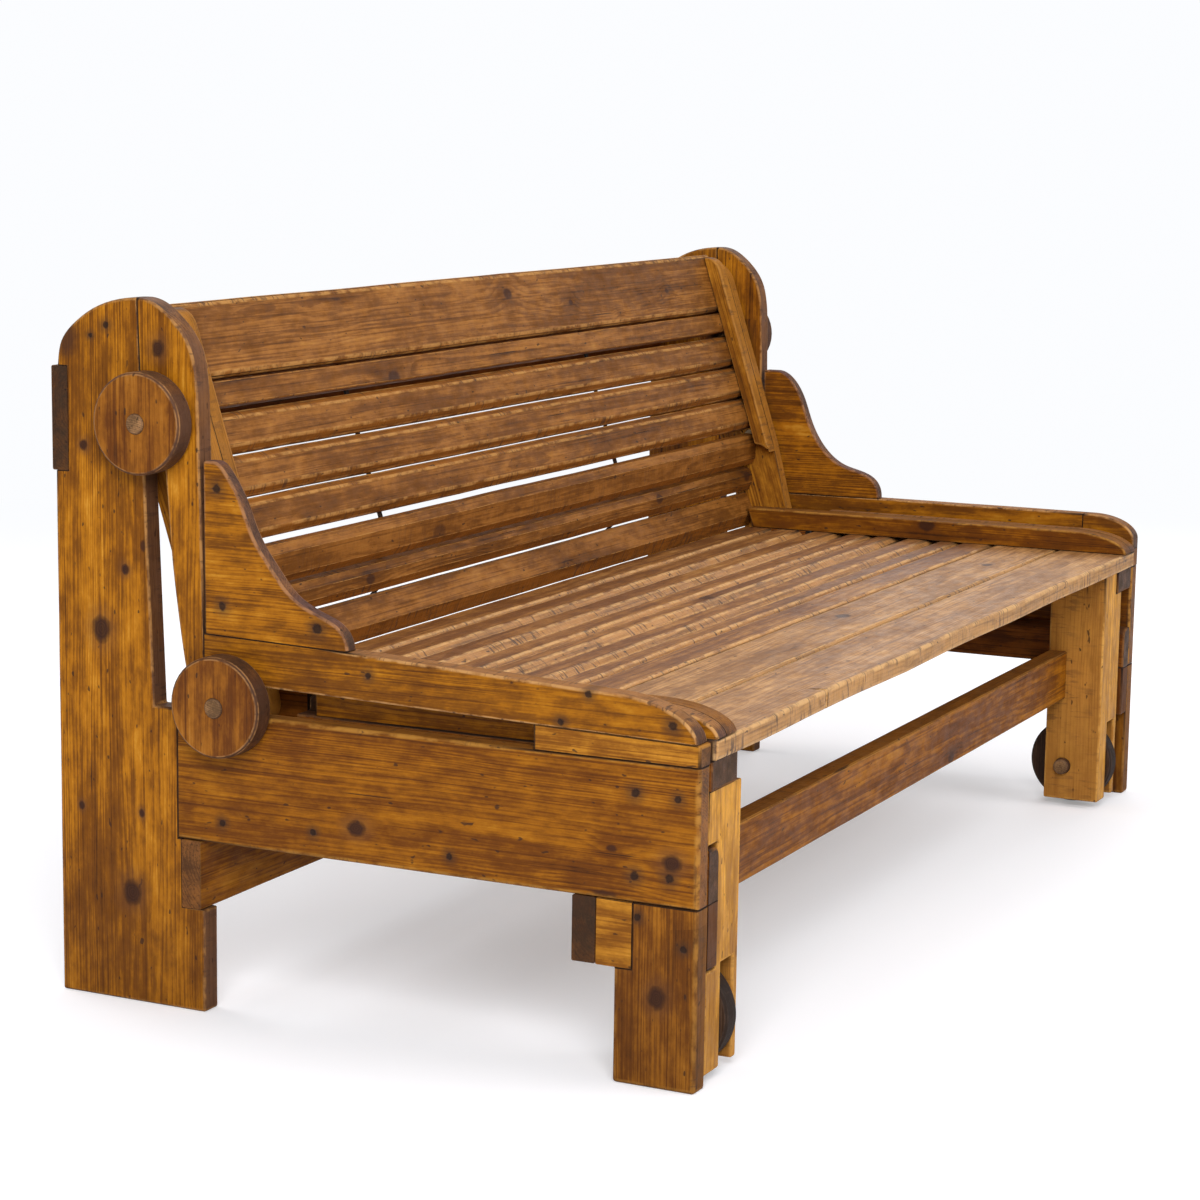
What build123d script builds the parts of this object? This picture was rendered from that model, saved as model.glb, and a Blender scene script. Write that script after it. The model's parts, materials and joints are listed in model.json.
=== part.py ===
from build123d import *
from math import atan, atan2, cos, hypot, sin, sqrt
import os

# A pull-out bench bed in pine.  Millimetres, +Z up, the front is towards -Y.
# The origin is on the floor under the middle of the bed.
#
# The backrest is a bar that slides in two slots at each end of the bench: its upper pins run
# down a steep slot in the rear post, and its lower pins run forward on the level top edge of
# the side board.  The seat is hinged to the lower pins and rolls on two wheeled legs.

# ---- side frames ------------------------------------------------------------------
frame_outer_x = 898.0
side_thickness = 30.0
frame_front_y = -437.0
frame_rear_y = 437.0
arch_top_z = 880.0
joint_gap = 0.4
slot_floor_z = 381.0
slot_height = 30.0
side_board_height = 164.0
side_board_lap = 33.0
post_foot_width = 213.0
upright_front_y = 222.0
upright_lean = 7.0
arch_rear_points = ((-10, -56), (-31, -32), (-58, -14.5), (-88, -4))
arch_front_points = ((72, -4), (50, -18), (30, -38), (16.5, -60), (9.8, -86))
arch_shoulder_drop = 119.0
slot_bottom_width = 50.3
slot_profile = ((0.08, 46.3), (0.18, 42.5), (0.42, 35.5), (0.8, 30.3))
left_rail_heel_rise = 9.0
left_rail_nose_drop = 4.5
left_rail_height = 57.0
left_rail_front_y = -432.0
left_rail_foot_drop = 5.0
left_rail_crown_y = -317.0
left_rail_crown_drop = 20.0
right_rail_height = 52.0
rail_nose_length = 86.0
rail_nose_round_y = 74.0
rail_nose_round_z = 38.0
spacer_length = 211.0
bracket_thickness = 21.0
left_bracket_top = ((-14, 211), (-34, 196), (-54, 161), (-72, 120), (-95, 88))
left_bracket_toe = ((-125, 55), (-164, 35), (-187, 24), (-198, 11), (-202, -4.6))
right_bracket_top = ((-22, 210), (-62, 180), (-84, 126), (-113, 78))
right_bracket_toe = ((-145, 54), (-181, 43), (-203, 31), (-213, 15), (-215, 0.4))
curve_pull = 1.0
leg_width = 104.0
leg_notch_depth = 23.0
leg_notch_height = 80.0
notch_block_width = 47.0
front_stretcher_height = 79.0
front_stretcher_thickness = 30.0
rear_stretcher_height = 87.0
rear_stretcher_thickness = 28.0
rear_stretcher_setback = 5.0
stretcher_edge = 1.2
top_rail_thickness = 24.0
top_rail_proud = 5.0
top_rail_drop = 87.0
top_rail_height = 129.0
top_rail_edge = 2.5
arch_rear_setback = 4.0
inner_rail_width = 30.0
inner_rail_height = 64.0
inner_rail_round = 14.0

# ---- slots, pins and discs -----------------------------------------------------------
slot_foot_y = 295.0
slot_lean = 0.039
pin_radius = 12.5
pin_play = 0.3
slot_end_play = 0.4
running_fit = 0.05
upper_pin_z = 731.0
lower_pin_y = 187.0
disc_radius = 62.5
disc_thickness = 32.0
disc_gap = 2.0
disc_edge = 3.0
pin_proud = 2.0
pin_edge = 1.5

# ---- backrest, measured along (v) and square to (n) the line through its pins ---------
member_side_gap = 6.0
member_thickness = 24.0
member_rear_n = -46.0
member_front_n = 46.0
member_foot_n = 34.0
member_foot_v = -38.0
member_top_v = 486.0
member_taper_v = 150.0
member_foot_round = 30.0
member_top_round = 48.0
member_rear_cut = 18.0
back_face_n = 23.0
back_slat_thickness = 24.0
low_slat_thickness = 19.0
batten_width = 27.0
batten_foot_v = 157.0
batten_lip = 22.0
batten_hollow = 6.0
batten_top_round = 30.0
cleat_width = 32.0
cleat_thickness = 20.0
cleat_foot_v = 188.0
cleat_top_v = 478.0
cleat_cut = 8.0
top_board_foot_v = 393.0
top_board_top_v = 493.0
top_board_edge = 5.0
narrow_slat_v = (357.0, 389.0)
wide_slat_v = ((297.0, 350.0), (241.0, 294.5), (186.5, 239.0))
narrow_slat_edge = 1.5
wide_slat_edge = 9.0
# centre of the front face, width, tilt in degrees, heel at the back of the head, length of the
# cut at the head, length and depth of the cut at the foot
low_slats = (
    ((148.2, 11.8), 52.0, 22.0, 0.0, 12.2, 10.6, 6.0),
    ((101.4, -9.3), 37.0, 17.0, 3.0, 10.6, 11.8, 6.0),
    ((56.3, -22.75), 56.0, -8.0, 0.0, 2.0, 15.5, 18.0),
)
head_cut_depth = 6.0
low_slat_n = -21.0
strap_width = 8.0
strap_thickness = 3.0
strap_gap = 0.3
strap_bends = ((167.5, -2.8), (133.5, -16.55), (128.2, -22.9), (89.3, -34.75), (82.3, -47.35), (36.0, -40.9))
strap_top_v = 480.0
left_strap_x = -425.0
right_strap_x = 320.0
peg_radius = 7.0
peg_length = 18.0
peg_inset = 1.0

# ---- seat ------------------------------------------------------------------------------
seat_front_y = -442.0
seat_rise = 14.2
seat_board_thickness = 25.0
rim_height = 33.0
rim_width = 32.0
rim_nose_length = 92.0
rim_clearance = 2.5
side_rear_gap = 100.0
bearer_side_gap = 4.0
bearer_width = 74.0
bearer_thickness = 36.0
bearer_front_setback = 5.0
bearer_rear_gap = 75.0
hinge_block_gap = 2.0
hinge_block_reach = 28.0
hinge_block_round = 22.0
front_board_width = 113.0
front_board_edge = 5.0
front_board_wave = (1.0, 0.4, 4.0, 1.0, 5.0, 2.0, 4.0, 1.0, 0.4)
saw_cut_x = -516.0
saw_cut_width = 2.0
saw_cut_depth = 26.0
board_gap = 4.0
second_board_width = 105.0
second_board_edge = 3.0
slat_edge_drop = 9.0
# gap in front, front chamfer, flat face, rear chamfer
long_seat_slats = (
    (3.0, 4.0, 48.0, 5.0),
    (3.0, 5.0, 27.0, 10.0),
    (5.0, 10.0, 32.0, 11.0),
    (8.0, 11.0, 23.0, 7.0),
    (3.0, 7.0, 33.0, 11.0),
    (7.0, 12.0, 35.0, 10.0),
)
short_seat_slats = ((5.0, 10.0, 40.0, 4.0), (3.0, 5.0, 50.0, 2.0))

# ---- seat legs and wheels ------------------------------------------------------------------
seat_leg_setback = 8.0
seat_leg_depth = 90.0
seat_leg_width = 93.0
seat_leg_bottom_z = 12.0
seat_leg_cheek = 13.0
left_rebate_depth = 28.0
left_rebate_play = 3.0
left_wheel_slot = 36.0
right_leg_inset = 42.0
right_wheel_slot = 38.0
wheel_top_play = 2.0
wheel_radius = 67.5
wheel_thickness = 30.0
wheel_edge = 3.0
axle_radius = 12.5
axle_proud = 13.0
axle_edge = 2.0
leg_stretcher_thickness = 30.0
leg_stretcher_height = 78.0
leg_stretcher_bottom_z = 178.0
leg_stretcher_edge = 2.0

# ---- where things come ----------------------------------------------------------------------
frame_inner_x = frame_outer_x - side_thickness
member_outer_x = frame_inner_x - member_side_gap
member_inner_x = member_outer_x - member_thickness
slat_end_x = member_inner_x - joint_gap
rim_inner_x = member_inner_x - rim_width
bearer_outer_x = frame_inner_x - bearer_side_gap
bearer_inner_x = bearer_outer_x - bearer_width
disc_inner_x = frame_outer_x + disc_gap
disc_outer_x = disc_inner_x + disc_thickness
pin_end_x = disc_outer_x + pin_proud

side_board_bottom_z = slot_floor_z - side_board_height
side_board_rear_y = slot_foot_y - side_board_lap
post_front_y = frame_rear_y - post_foot_width
lap_z = side_board_bottom_z - joint_gap
rear_stretcher_front_y = post_front_y + rear_stretcher_setback
rear_notch_y = rear_stretcher_front_y + rear_stretcher_thickness
rear_notch_z = side_board_bottom_z - rear_stretcher_height
leg_rear_y = frame_front_y + leg_width
leg_notch_y = leg_rear_y - leg_notch_depth
leg_notch_z = side_board_bottom_z - leg_notch_height
notch_block_rear_y = leg_notch_y + notch_block_width
front_stretcher_rear_y = notch_block_rear_y + front_stretcher_thickness
front_stretcher_z = side_board_bottom_z - front_stretcher_height
spacer_rear_y = frame_front_y + spacer_length
rail_bottom_z = slot_floor_z + slot_height
left_rail_heel_z = rail_bottom_z + left_rail_heel_rise
left_rail_nose_z = rail_bottom_z - left_rail_nose_drop
left_rail_top_z = left_rail_heel_z + left_rail_height
right_rail_top_z = rail_bottom_z + right_rail_height
rail_nose_rear_y = frame_front_y + rail_nose_length
top_rail_top_z = arch_top_z - top_rail_drop
top_rail_bottom_z = top_rail_top_z - top_rail_height
top_rail_rear_y = frame_rear_y + top_rail_proud
top_rail_front_y = top_rail_rear_y - top_rail_thickness
arch_shoulder_z = arch_top_z - arch_shoulder_drop
inner_rail_top_z = side_board_bottom_z + inner_rail_height

pin_reach = pin_radius + pin_play
pin_line_z = slot_floor_z + pin_reach
edge_to_pin = pin_reach / cos(atan(slot_lean))
slot_top_y = slot_foot_y + slot_lean * (upper_pin_z - slot_floor_z)
crown_y = slot_foot_y + slot_lean * (arch_top_z - slot_floor_z)
upper_pin_y = slot_top_y - edge_to_pin
corner_y = slot_foot_y + slot_lean * pin_reach - edge_to_pin
slot_top_width = edge_to_pin + pin_radius + slot_end_play
slot_end_z = upper_pin_z + pin_radius + slot_end_play
upright_slot_top_y = slot_top_y - slot_top_width
back_angle = atan2(upper_pin_z - pin_line_z, upper_pin_y - lower_pin_y)
pin_spacing = hypot(upper_pin_z - pin_line_z, upper_pin_y - lower_pin_y)
trammel_radius = pin_spacing / cos(atan(slot_lean)) / 2
peg_y = (corner_y + lower_pin_y) / 2
peg_z = pin_line_z + sqrt(trammel_radius**2 - ((corner_y - lower_pin_y) / 2) ** 2)

back_rear_n = back_face_n - back_slat_thickness
batten_n = back_face_n + joint_gap
member_top_n = member_front_n - member_top_round

seat_top_z = pin_line_z + seat_rise
seat_board_z = seat_top_z - seat_board_thickness
bearer_z = seat_board_z - bearer_thickness
rim_base_z = seat_top_z + joint_gap
rim_top_z = seat_top_z + rim_height
rim_crown_y = seat_front_y + rim_nose_length
side_rear_y = lower_pin_y - side_rear_gap
bearer_front_y = seat_front_y + bearer_front_setback
bearer_rear_y = lower_pin_y - bearer_rear_gap
hinge_block_rear_y = lower_pin_y + hinge_block_reach
front_board_rear_y = seat_front_y + front_board_width
second_board_front_y = front_board_rear_y + board_gap
second_board_rear_y = second_board_front_y + second_board_width

seat_leg_front_y = seat_front_y + seat_leg_setback
seat_leg_rear_y = seat_leg_front_y + seat_leg_depth
wheel_y = seat_front_y + wheel_radius
wheel_slot_top_z = 2 * wheel_radius + wheel_top_play
left_leg_inner_x = -bearer_outer_x + seat_leg_width
left_slot_inner_x = left_leg_inner_x - seat_leg_cheek
left_slot_outer_x = left_slot_inner_x - left_wheel_slot
left_rebate_x = -bearer_outer_x + left_rebate_depth
rebate_bottom_z = front_stretcher_z - left_rebate_play
rebate_top_z = inner_rail_top_z + left_rebate_play
right_leg_outer_x = bearer_outer_x - right_leg_inset
right_leg_inner_x = right_leg_outer_x - seat_leg_width
right_slot_outer_x = right_leg_outer_x - seat_leg_cheek
right_slot_inner_x = right_slot_outer_x - right_wheel_slot


def slot_edge_y(z):
    """The rear edge of the steep slot, which is also the joint between post and upright."""
    return slot_foot_y + slot_lean * (z - slot_floor_z)


def rim_rear_y(z):
    """The line parallel to the lowest back slat where the seat's rims are cut off."""
    n = low_slat_n + rim_clearance
    v = (z - pin_line_z - n * cos(back_angle)) / sin(back_angle)
    return lower_pin_y + v * cos(back_angle) - n * sin(back_angle)


def moved(points, y, z):
    """An outline's points, given from the corner (y, z)."""
    return [(y + dy, z + dz) for dy, dz in points]


side_plane = Plane.YZ.offset(-frame_outer_x)
right_side_plane = Plane.YZ.offset(frame_inner_x)
inner_side_plane = Plane.YZ.offset(-frame_inner_x + joint_gap)
back_plane = Plane(
    origin=(0, lower_pin_y, pin_line_z),
    x_dir=(0, cos(back_angle), sin(back_angle)),
    z_dir=(1, 0, 0),
)
back_slat_plane = back_plane.offset(-slat_end_x)
seat_slat_plane = Plane.YZ.offset(-slat_end_x)

os.makedirs("parts", exist_ok=True)

# =================================== side frames =======================================

with BuildPart() as left_rear_post:
    with BuildSketch(side_plane):
        with BuildLine():
            post_back = Polyline(
                (crown_y, arch_top_z),
                (slot_foot_y, slot_floor_z),
                (side_board_rear_y, slot_floor_z),
                (side_board_rear_y, side_board_bottom_z),
                (rear_notch_y, side_board_bottom_z),
                (rear_notch_y, rear_notch_z),
                (post_front_y, rear_notch_z),
                (post_front_y, 0),
                (frame_rear_y, 0),
                (frame_rear_y, top_rail_bottom_z - joint_gap),
                (top_rail_front_y - joint_gap, top_rail_bottom_z - joint_gap),
                (top_rail_front_y - joint_gap, top_rail_top_z + joint_gap),
                (frame_rear_y - arch_rear_setback, top_rail_top_z + joint_gap),
            )
            Spline(
                post_back @ 1,
                *moved(arch_rear_points, frame_rear_y, arch_top_z),
                post_back @ 0,
                tangents=((-0.1, 1), (-1, 0)),
                tangent_scalars=(curve_pull, curve_pull),
            )
        make_face()
    extrude(amount=side_thickness)
left_rear_post.part.label = "left_rear_post"
export_step(left_rear_post.part, "parts/left_rear_post.step")

with BuildPart() as right_rear_post:
    mirror(left_rear_post.part, about=Plane.YZ)
right_rear_post.part.label = "right_rear_post"
export_step(right_rear_post.part, "parts/right_rear_post.step")

with BuildPart() as left_front_upright:
    slot_run_z = upper_pin_z - left_rail_heel_z
    slot_side = [
        (slot_edge_y(left_rail_heel_z + part * slot_run_z) - width, left_rail_heel_z + part * slot_run_z)
        for part, width in slot_profile
    ]
    with BuildSketch(side_plane):
        with BuildLine():
            upright_front = Polyline(
                (upright_front_y + upright_lean, arch_shoulder_z),
                (upright_front_y, left_rail_top_z),
                (upright_front_y, left_rail_heel_z),
                (slot_edge_y(left_rail_heel_z) - slot_bottom_width, left_rail_heel_z),
            )
            slot_run = Spline(
                upright_front @ 1,
                *slot_side,
                (upright_slot_top_y, upper_pin_z),
            )
            slot_end = ThreePointArc(
                slot_run @ 1,
                (
                    upper_pin_y - (pin_radius + slot_end_play) * sin(back_angle / 2),
                    upper_pin_z + (pin_radius + slot_end_play) * cos(back_angle / 2),
                ),
                (upper_pin_y, slot_end_z),
            )
            post_joint = Polyline(
                slot_end @ 1,
                (slot_edge_y(slot_end_z) - joint_gap, slot_end_z),
                (crown_y - joint_gap, arch_top_z),
            )
            Spline(
                post_joint @ 1,
                *moved(arch_front_points, upright_front_y, arch_top_z),
                upright_front @ 0,
                tangents=((-1, 0), (-0.02, -1)),
                tangent_scalars=(curve_pull, curve_pull),
            )
        make_face()
    extrude(amount=side_thickness)
left_front_upright.part.label = "left_front_upright"
export_step(left_front_upright.part, "parts/left_front_upright.step")

with BuildPart() as right_front_upright:
    mirror(left_front_upright.part, about=Plane.YZ)
right_front_upright.part.label = "right_front_upright"
export_step(right_front_upright.part, "parts/right_front_upright.step")

with BuildPart() as left_arm_bracket:
    with BuildSketch(side_plane):
        with BuildLine():
            bracket_curve = Spline(
                *moved(left_bracket_top + left_bracket_toe, upright_front_y, left_rail_top_z),
                tangents=((-1, 0), (0, -1)),
                tangent_scalars=(curve_pull, curve_pull),
            )
            Polyline(
                bracket_curve @ 1,
                (upright_front_y - joint_gap, left_rail_top_z + joint_gap),
                (upright_front_y - joint_gap, left_rail_top_z + left_bracket_top[0][1]),
                bracket_curve @ 0,
            )
        make_face()
    extrude(amount=bracket_thickness)
left_arm_bracket.part.label = "left_arm_bracket"
export_step(left_arm_bracket.part, "parts/left_arm_bracket.step")

with BuildPart() as right_arm_bracket:
    with BuildSketch(right_side_plane):
        with BuildLine():
            bracket_curve = Spline(
                *moved(right_bracket_top + right_bracket_toe, upright_front_y, right_rail_top_z),
                tangents=((-1, 0), (0, -1)),
                tangent_scalars=(curve_pull, curve_pull),
            )
            Polyline(
                bracket_curve @ 1,
                (upright_front_y - joint_gap, right_rail_top_z + joint_gap),
                (upright_front_y - joint_gap, right_rail_top_z + right_bracket_top[0][1]),
                bracket_curve @ 0,
            )
        make_face()
    extrude(amount=bracket_thickness)
right_arm_bracket.part.label = "right_arm_bracket"
export_step(right_arm_bracket.part, "parts/right_arm_bracket.step")

with BuildPart() as left_upper_rail:
    with BuildSketch(side_plane):
        with BuildLine():
            rail_run = Polyline(
                (left_rail_front_y, left_rail_nose_z),
                (spacer_rear_y, rail_bottom_z),
                (lower_pin_y, left_rail_heel_z - joint_gap),
                (upright_front_y - joint_gap, left_rail_heel_z - joint_gap),
                (upright_front_y - joint_gap, left_rail_top_z),
                (upright_front_y + left_bracket_toe[-1][0], left_rail_top_z - left_rail_foot_drop),
                (left_rail_crown_y, left_rail_top_z - left_rail_crown_drop),
            )
            EllipticalCenterArc(
                center=(left_rail_crown_y, left_rail_nose_z),
                x_radius=left_rail_crown_y - left_rail_front_y,
                y_radius=left_rail_top_z - left_rail_crown_drop - left_rail_nose_z,
                start_angle=90,
                arc_size=90,
            )
        make_face()
    extrude(amount=side_thickness)
left_upper_rail.part.label = "left_upper_rail"
export_step(left_upper_rail.part, "parts/left_upper_rail.step")

with BuildPart() as right_upper_rail:
    with BuildSketch(right_side_plane):
        with BuildLine():
            Polyline(
                (rail_nose_rear_y + joint_gap, rail_bottom_z),
                (upright_front_y - joint_gap, rail_bottom_z),
                (upright_front_y - joint_gap, right_rail_top_z),
                (rail_nose_rear_y + joint_gap, right_rail_top_z),
                close=True,
            )
        make_face()
    extrude(amount=side_thickness)
right_upper_rail.part.label = "right_upper_rail"
export_step(right_upper_rail.part, "parts/right_upper_rail.step")

with BuildPart() as right_rail_nose:
    with BuildSketch(right_side_plane):
        with BuildLine():
            Polyline(
                (frame_front_y, right_rail_top_z - rail_nose_round_z),
                (frame_front_y, rail_bottom_z),
                (rail_nose_rear_y, rail_bottom_z),
                (rail_nose_rear_y, right_rail_top_z),
                (frame_front_y + rail_nose_round_y, right_rail_top_z),
            )
            EllipticalCenterArc(
                center=(frame_front_y + rail_nose_round_y, right_rail_top_z - rail_nose_round_z),
                x_radius=rail_nose_round_y,
                y_radius=rail_nose_round_z,
                start_angle=90,
                arc_size=90,
            )
        make_face()
    extrude(amount=side_thickness)
right_rail_nose.part.label = "right_rail_nose"
export_step(right_rail_nose.part, "parts/right_rail_nose.step")

with BuildPart() as left_spacer_block:
    with BuildSketch(side_plane):
        with BuildLine():
            Polyline(
                (frame_front_y, slot_floor_z + joint_gap),
                (spacer_rear_y, slot_floor_z + joint_gap),
                (spacer_rear_y, rail_bottom_z - joint_gap),
                (frame_front_y, left_rail_nose_z - joint_gap),
                close=True,
            )
        make_face()
    extrude(amount=side_thickness)
left_spacer_block.part.label = "left_spacer_block"
export_step(left_spacer_block.part, "parts/left_spacer_block.step")

with BuildPart() as right_spacer_block:
    with BuildSketch(right_side_plane):
        with BuildLine():
            Polyline(
                (frame_front_y, slot_floor_z + joint_gap),
                (spacer_rear_y, slot_floor_z + joint_gap),
                (spacer_rear_y, rail_bottom_z - joint_gap),
                (frame_front_y, rail_bottom_z - joint_gap),
                close=True,
            )
        make_face()
    extrude(amount=side_thickness)
right_spacer_block.part.label = "right_spacer_block"
export_step(right_spacer_block.part, "parts/right_spacer_block.step")

with BuildPart() as left_side_board:
    with BuildSketch(side_plane):
        with BuildLine():
            Polyline(
                (frame_front_y, side_board_bottom_z),
                (side_board_rear_y - joint_gap, side_board_bottom_z),
                (side_board_rear_y - joint_gap, slot_floor_z),
                (frame_front_y, slot_floor_z),
                close=True,
            )
        make_face()
    extrude(amount=side_thickness)
left_side_board.part.label = "left_side_board"
export_step(left_side_board.part, "parts/left_side_board.step")

with BuildPart() as right_side_board:
    mirror(left_side_board.part, about=Plane.YZ)
right_side_board.part.label = "right_side_board"
export_step(right_side_board.part, "parts/right_side_board.step")

with BuildPart() as left_front_leg:
    with BuildSketch(side_plane):
        with BuildLine():
            Polyline(
                (frame_front_y, 0),
                (leg_rear_y, 0),
                (leg_rear_y, leg_notch_z),
                (leg_notch_y, leg_notch_z),
                (leg_notch_y, lap_z),
                (frame_front_y, lap_z),
                close=True,
            )
        make_face()
    extrude(amount=side_thickness)
left_front_leg.part.label = "left_front_leg"
export_step(left_front_leg.part, "parts/left_front_leg.step")

with BuildPart() as right_front_leg:
    mirror(left_front_leg.part, about=Plane.YZ)
right_front_leg.part.label = "right_front_leg"
export_step(right_front_leg.part, "parts/right_front_leg.step")

with BuildPart() as leg_notch_blocks:
    with BuildSketch(side_plane):
        with BuildLine():
            Polyline(
                (leg_notch_y + joint_gap, leg_notch_z + joint_gap),
                (notch_block_rear_y - joint_gap, leg_notch_z + joint_gap),
                (notch_block_rear_y - joint_gap, lap_z),
                (leg_notch_y + joint_gap, lap_z),
                close=True,
            )
        make_face()
    extrude(amount=side_thickness)
    mirror(about=Plane.YZ)
leg_notch_blocks.part.label = "leg_notch_blocks"
export_step(leg_notch_blocks.part, "parts/leg_notch_blocks.step")

with BuildPart() as front_stretcher:
    with BuildSketch(side_plane):
        with BuildLine():
            Polyline(
                (notch_block_rear_y, front_stretcher_z),
                (front_stretcher_rear_y, front_stretcher_z),
                (front_stretcher_rear_y, lap_z),
                (notch_block_rear_y, lap_z),
                close=True,
            )
        make_face()
    extrude(amount=2 * frame_outer_x)
    chamfer(front_stretcher.edges().filter_by(Axis.X), length=stretcher_edge)
front_stretcher.part.label = "front_stretcher"
export_step(front_stretcher.part, "parts/front_stretcher.step")

with BuildPart() as rear_stretcher:
    with BuildSketch(side_plane):
        with BuildLine():
            Polyline(
                (rear_stretcher_front_y, rear_notch_z + joint_gap),
                (rear_notch_y - joint_gap, rear_notch_z + joint_gap),
                (rear_notch_y - joint_gap, lap_z),
                (rear_stretcher_front_y, lap_z),
                close=True,
            )
        make_face()
    extrude(amount=2 * frame_outer_x)
    chamfer(rear_stretcher.edges().filter_by(Axis.X), length=stretcher_edge)
rear_stretcher.part.label = "rear_stretcher"
export_step(rear_stretcher.part, "parts/rear_stretcher.step")

with BuildPart() as rear_top_rail:
    with BuildSketch(side_plane):
        with BuildLine():
            Polyline(
                (top_rail_front_y, top_rail_bottom_z),
                (top_rail_rear_y, top_rail_bottom_z),
                (top_rail_rear_y, top_rail_top_z),
                (top_rail_front_y, top_rail_top_z),
                close=True,
            )
        make_face()
    extrude(amount=2 * frame_outer_x)
    fillet(rear_top_rail.edges().filter_by(Axis.X), radius=top_rail_edge)
rear_top_rail.part.label = "rear_top_rail"
export_step(rear_top_rail.part, "parts/rear_top_rail.step")

with BuildPart() as corner_blocks:
    with BuildSketch(inner_side_plane):
        with BuildLine():
            Polyline(
                (frame_front_y, front_stretcher_z),
                (notch_block_rear_y - joint_gap, front_stretcher_z),
                (notch_block_rear_y - joint_gap, lap_z),
                (frame_front_y, lap_z),
                close=True,
            )
        make_face()
    extrude(amount=inner_rail_width - joint_gap)
    mirror(about=Plane.YZ)
corner_blocks.part.label = "corner_blocks"
export_step(corner_blocks.part, "parts/corner_blocks.step")

with BuildPart() as inner_rails:
    with BuildSketch(inner_side_plane):
        with BuildLine():
            Polyline(
                (frame_front_y, side_board_bottom_z),
                (rear_notch_y, side_board_bottom_z),
                (rear_notch_y, inner_rail_top_z),
                (frame_front_y, inner_rail_top_z),
                close=True,
            )
        make_face()
    extrude(amount=inner_rail_width - joint_gap)
    top_edges = inner_rails.edges().filter_by(Axis.Y).group_by(Axis.Z)[-1]
    fillet(top_edges.sort_by(Axis.X)[-1], radius=inner_rail_round)
    mirror(about=Plane.YZ)
inner_rails.part.label = "inner_rails"
export_step(inner_rails.part, "parts/inner_rails.step")

# ===================================== backrest ========================================

with BuildPart() as left_back_member:
    with BuildSketch(back_plane.offset(-member_outer_x)):
        with BuildLine():
            member_front = Polyline(
                (member_foot_v, member_rear_n),
                (member_foot_v, member_foot_n),
                (member_taper_v, member_front_n),
                (member_top_v - member_top_round, member_front_n),
            )
            member_crown = RadiusArc(member_front @ 1, (member_top_v, member_top_n), member_top_round)
            Polyline(
                member_crown @ 1,
                (member_top_v, member_rear_n + member_rear_cut),
                (member_top_v - member_rear_cut, member_rear_n),
                member_front @ 0,
            )
        make_face()
    extrude(amount=member_thickness)
    foot_edges = left_back_member.edges().filter_by(Axis.X).sort_by(Axis.Z)[:2]
    fillet(foot_edges, radius=member_foot_round)
    with BuildSketch(Plane.YZ.offset(-member_outer_x)):
        with Locations((upper_pin_y, upper_pin_z), (lower_pin_y, pin_line_z)):
            Circle(pin_radius + running_fit)
    extrude(amount=member_thickness, mode=Mode.SUBTRACT)
    with BuildSketch(Plane.YZ.offset(-member_inner_x)):
        with Locations((peg_y, peg_z)):
            Circle(peg_radius + running_fit)
    extrude(amount=-(peg_length + 2 * peg_inset), mode=Mode.SUBTRACT)
left_back_member.part.label = "left_back_member"
export_step(left_back_member.part, "parts/left_back_member.step")

with BuildPart() as right_back_member:
    mirror(left_back_member.part, about=Plane.YZ)
right_back_member.part.label = "right_back_member"
export_step(right_back_member.part, "parts/right_back_member.step")

with BuildPart() as back_battens:
    with BuildSketch(back_slat_plane):
        with BuildLine():
            batten_foot = ThreePointArc(
                (batten_foot_v - batten_lip, member_front_n),
                (batten_foot_v - batten_hollow, (batten_n + member_front_n) / 2),
                (batten_foot_v, batten_n),
            )
            batten_run = Line(batten_foot @ 1, (member_top_v, batten_n))
            batten_crown = EllipticalCenterArc(
                center=(member_top_v - batten_top_round, batten_n),
                x_radius=batten_top_round,
                y_radius=member_front_n - batten_n,
                start_angle=0,
                arc_size=90,
            )
            Line((member_top_v - batten_top_round, member_front_n), batten_foot @ 0)
        make_face()
    extrude(amount=batten_width - joint_gap)
    mirror(about=Plane.YZ)
back_battens.part.label = "back_battens"
export_step(back_battens.part, "parts/back_battens.step")

with BuildPart() as back_cleats:
    with BuildSketch(back_slat_plane):
        with BuildLine():
            Polyline(
                (cleat_foot_v, back_rear_n - joint_gap),
                (cleat_top_v, back_rear_n - joint_gap),
                (cleat_top_v - cleat_cut, back_rear_n - joint_gap - cleat_thickness),
                (cleat_foot_v, back_rear_n - joint_gap - cleat_thickness),
                close=True,
            )
        make_face()
    extrude(amount=cleat_width - joint_gap)
    mirror(about=Plane.YZ)
back_cleats.part.label = "back_cleats"
export_step(back_cleats.part, "parts/back_cleats.step")

with BuildPart() as back_top_board:
    with BuildSketch(back_slat_plane):
        with BuildLine():
            Polyline(
                (top_board_foot_v, back_rear_n),
                (top_board_top_v, back_rear_n),
                (top_board_top_v, back_face_n - top_board_edge),
                (top_board_top_v - top_board_edge, back_face_n),
                (top_board_foot_v + top_board_edge, back_face_n),
                (top_board_foot_v, back_face_n - top_board_edge),
                close=True,
            )
        make_face()
    extrude(amount=2 * slat_end_x)
back_top_board.part.label = "back_top_board"
export_step(back_top_board.part, "parts/back_top_board.step")

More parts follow.
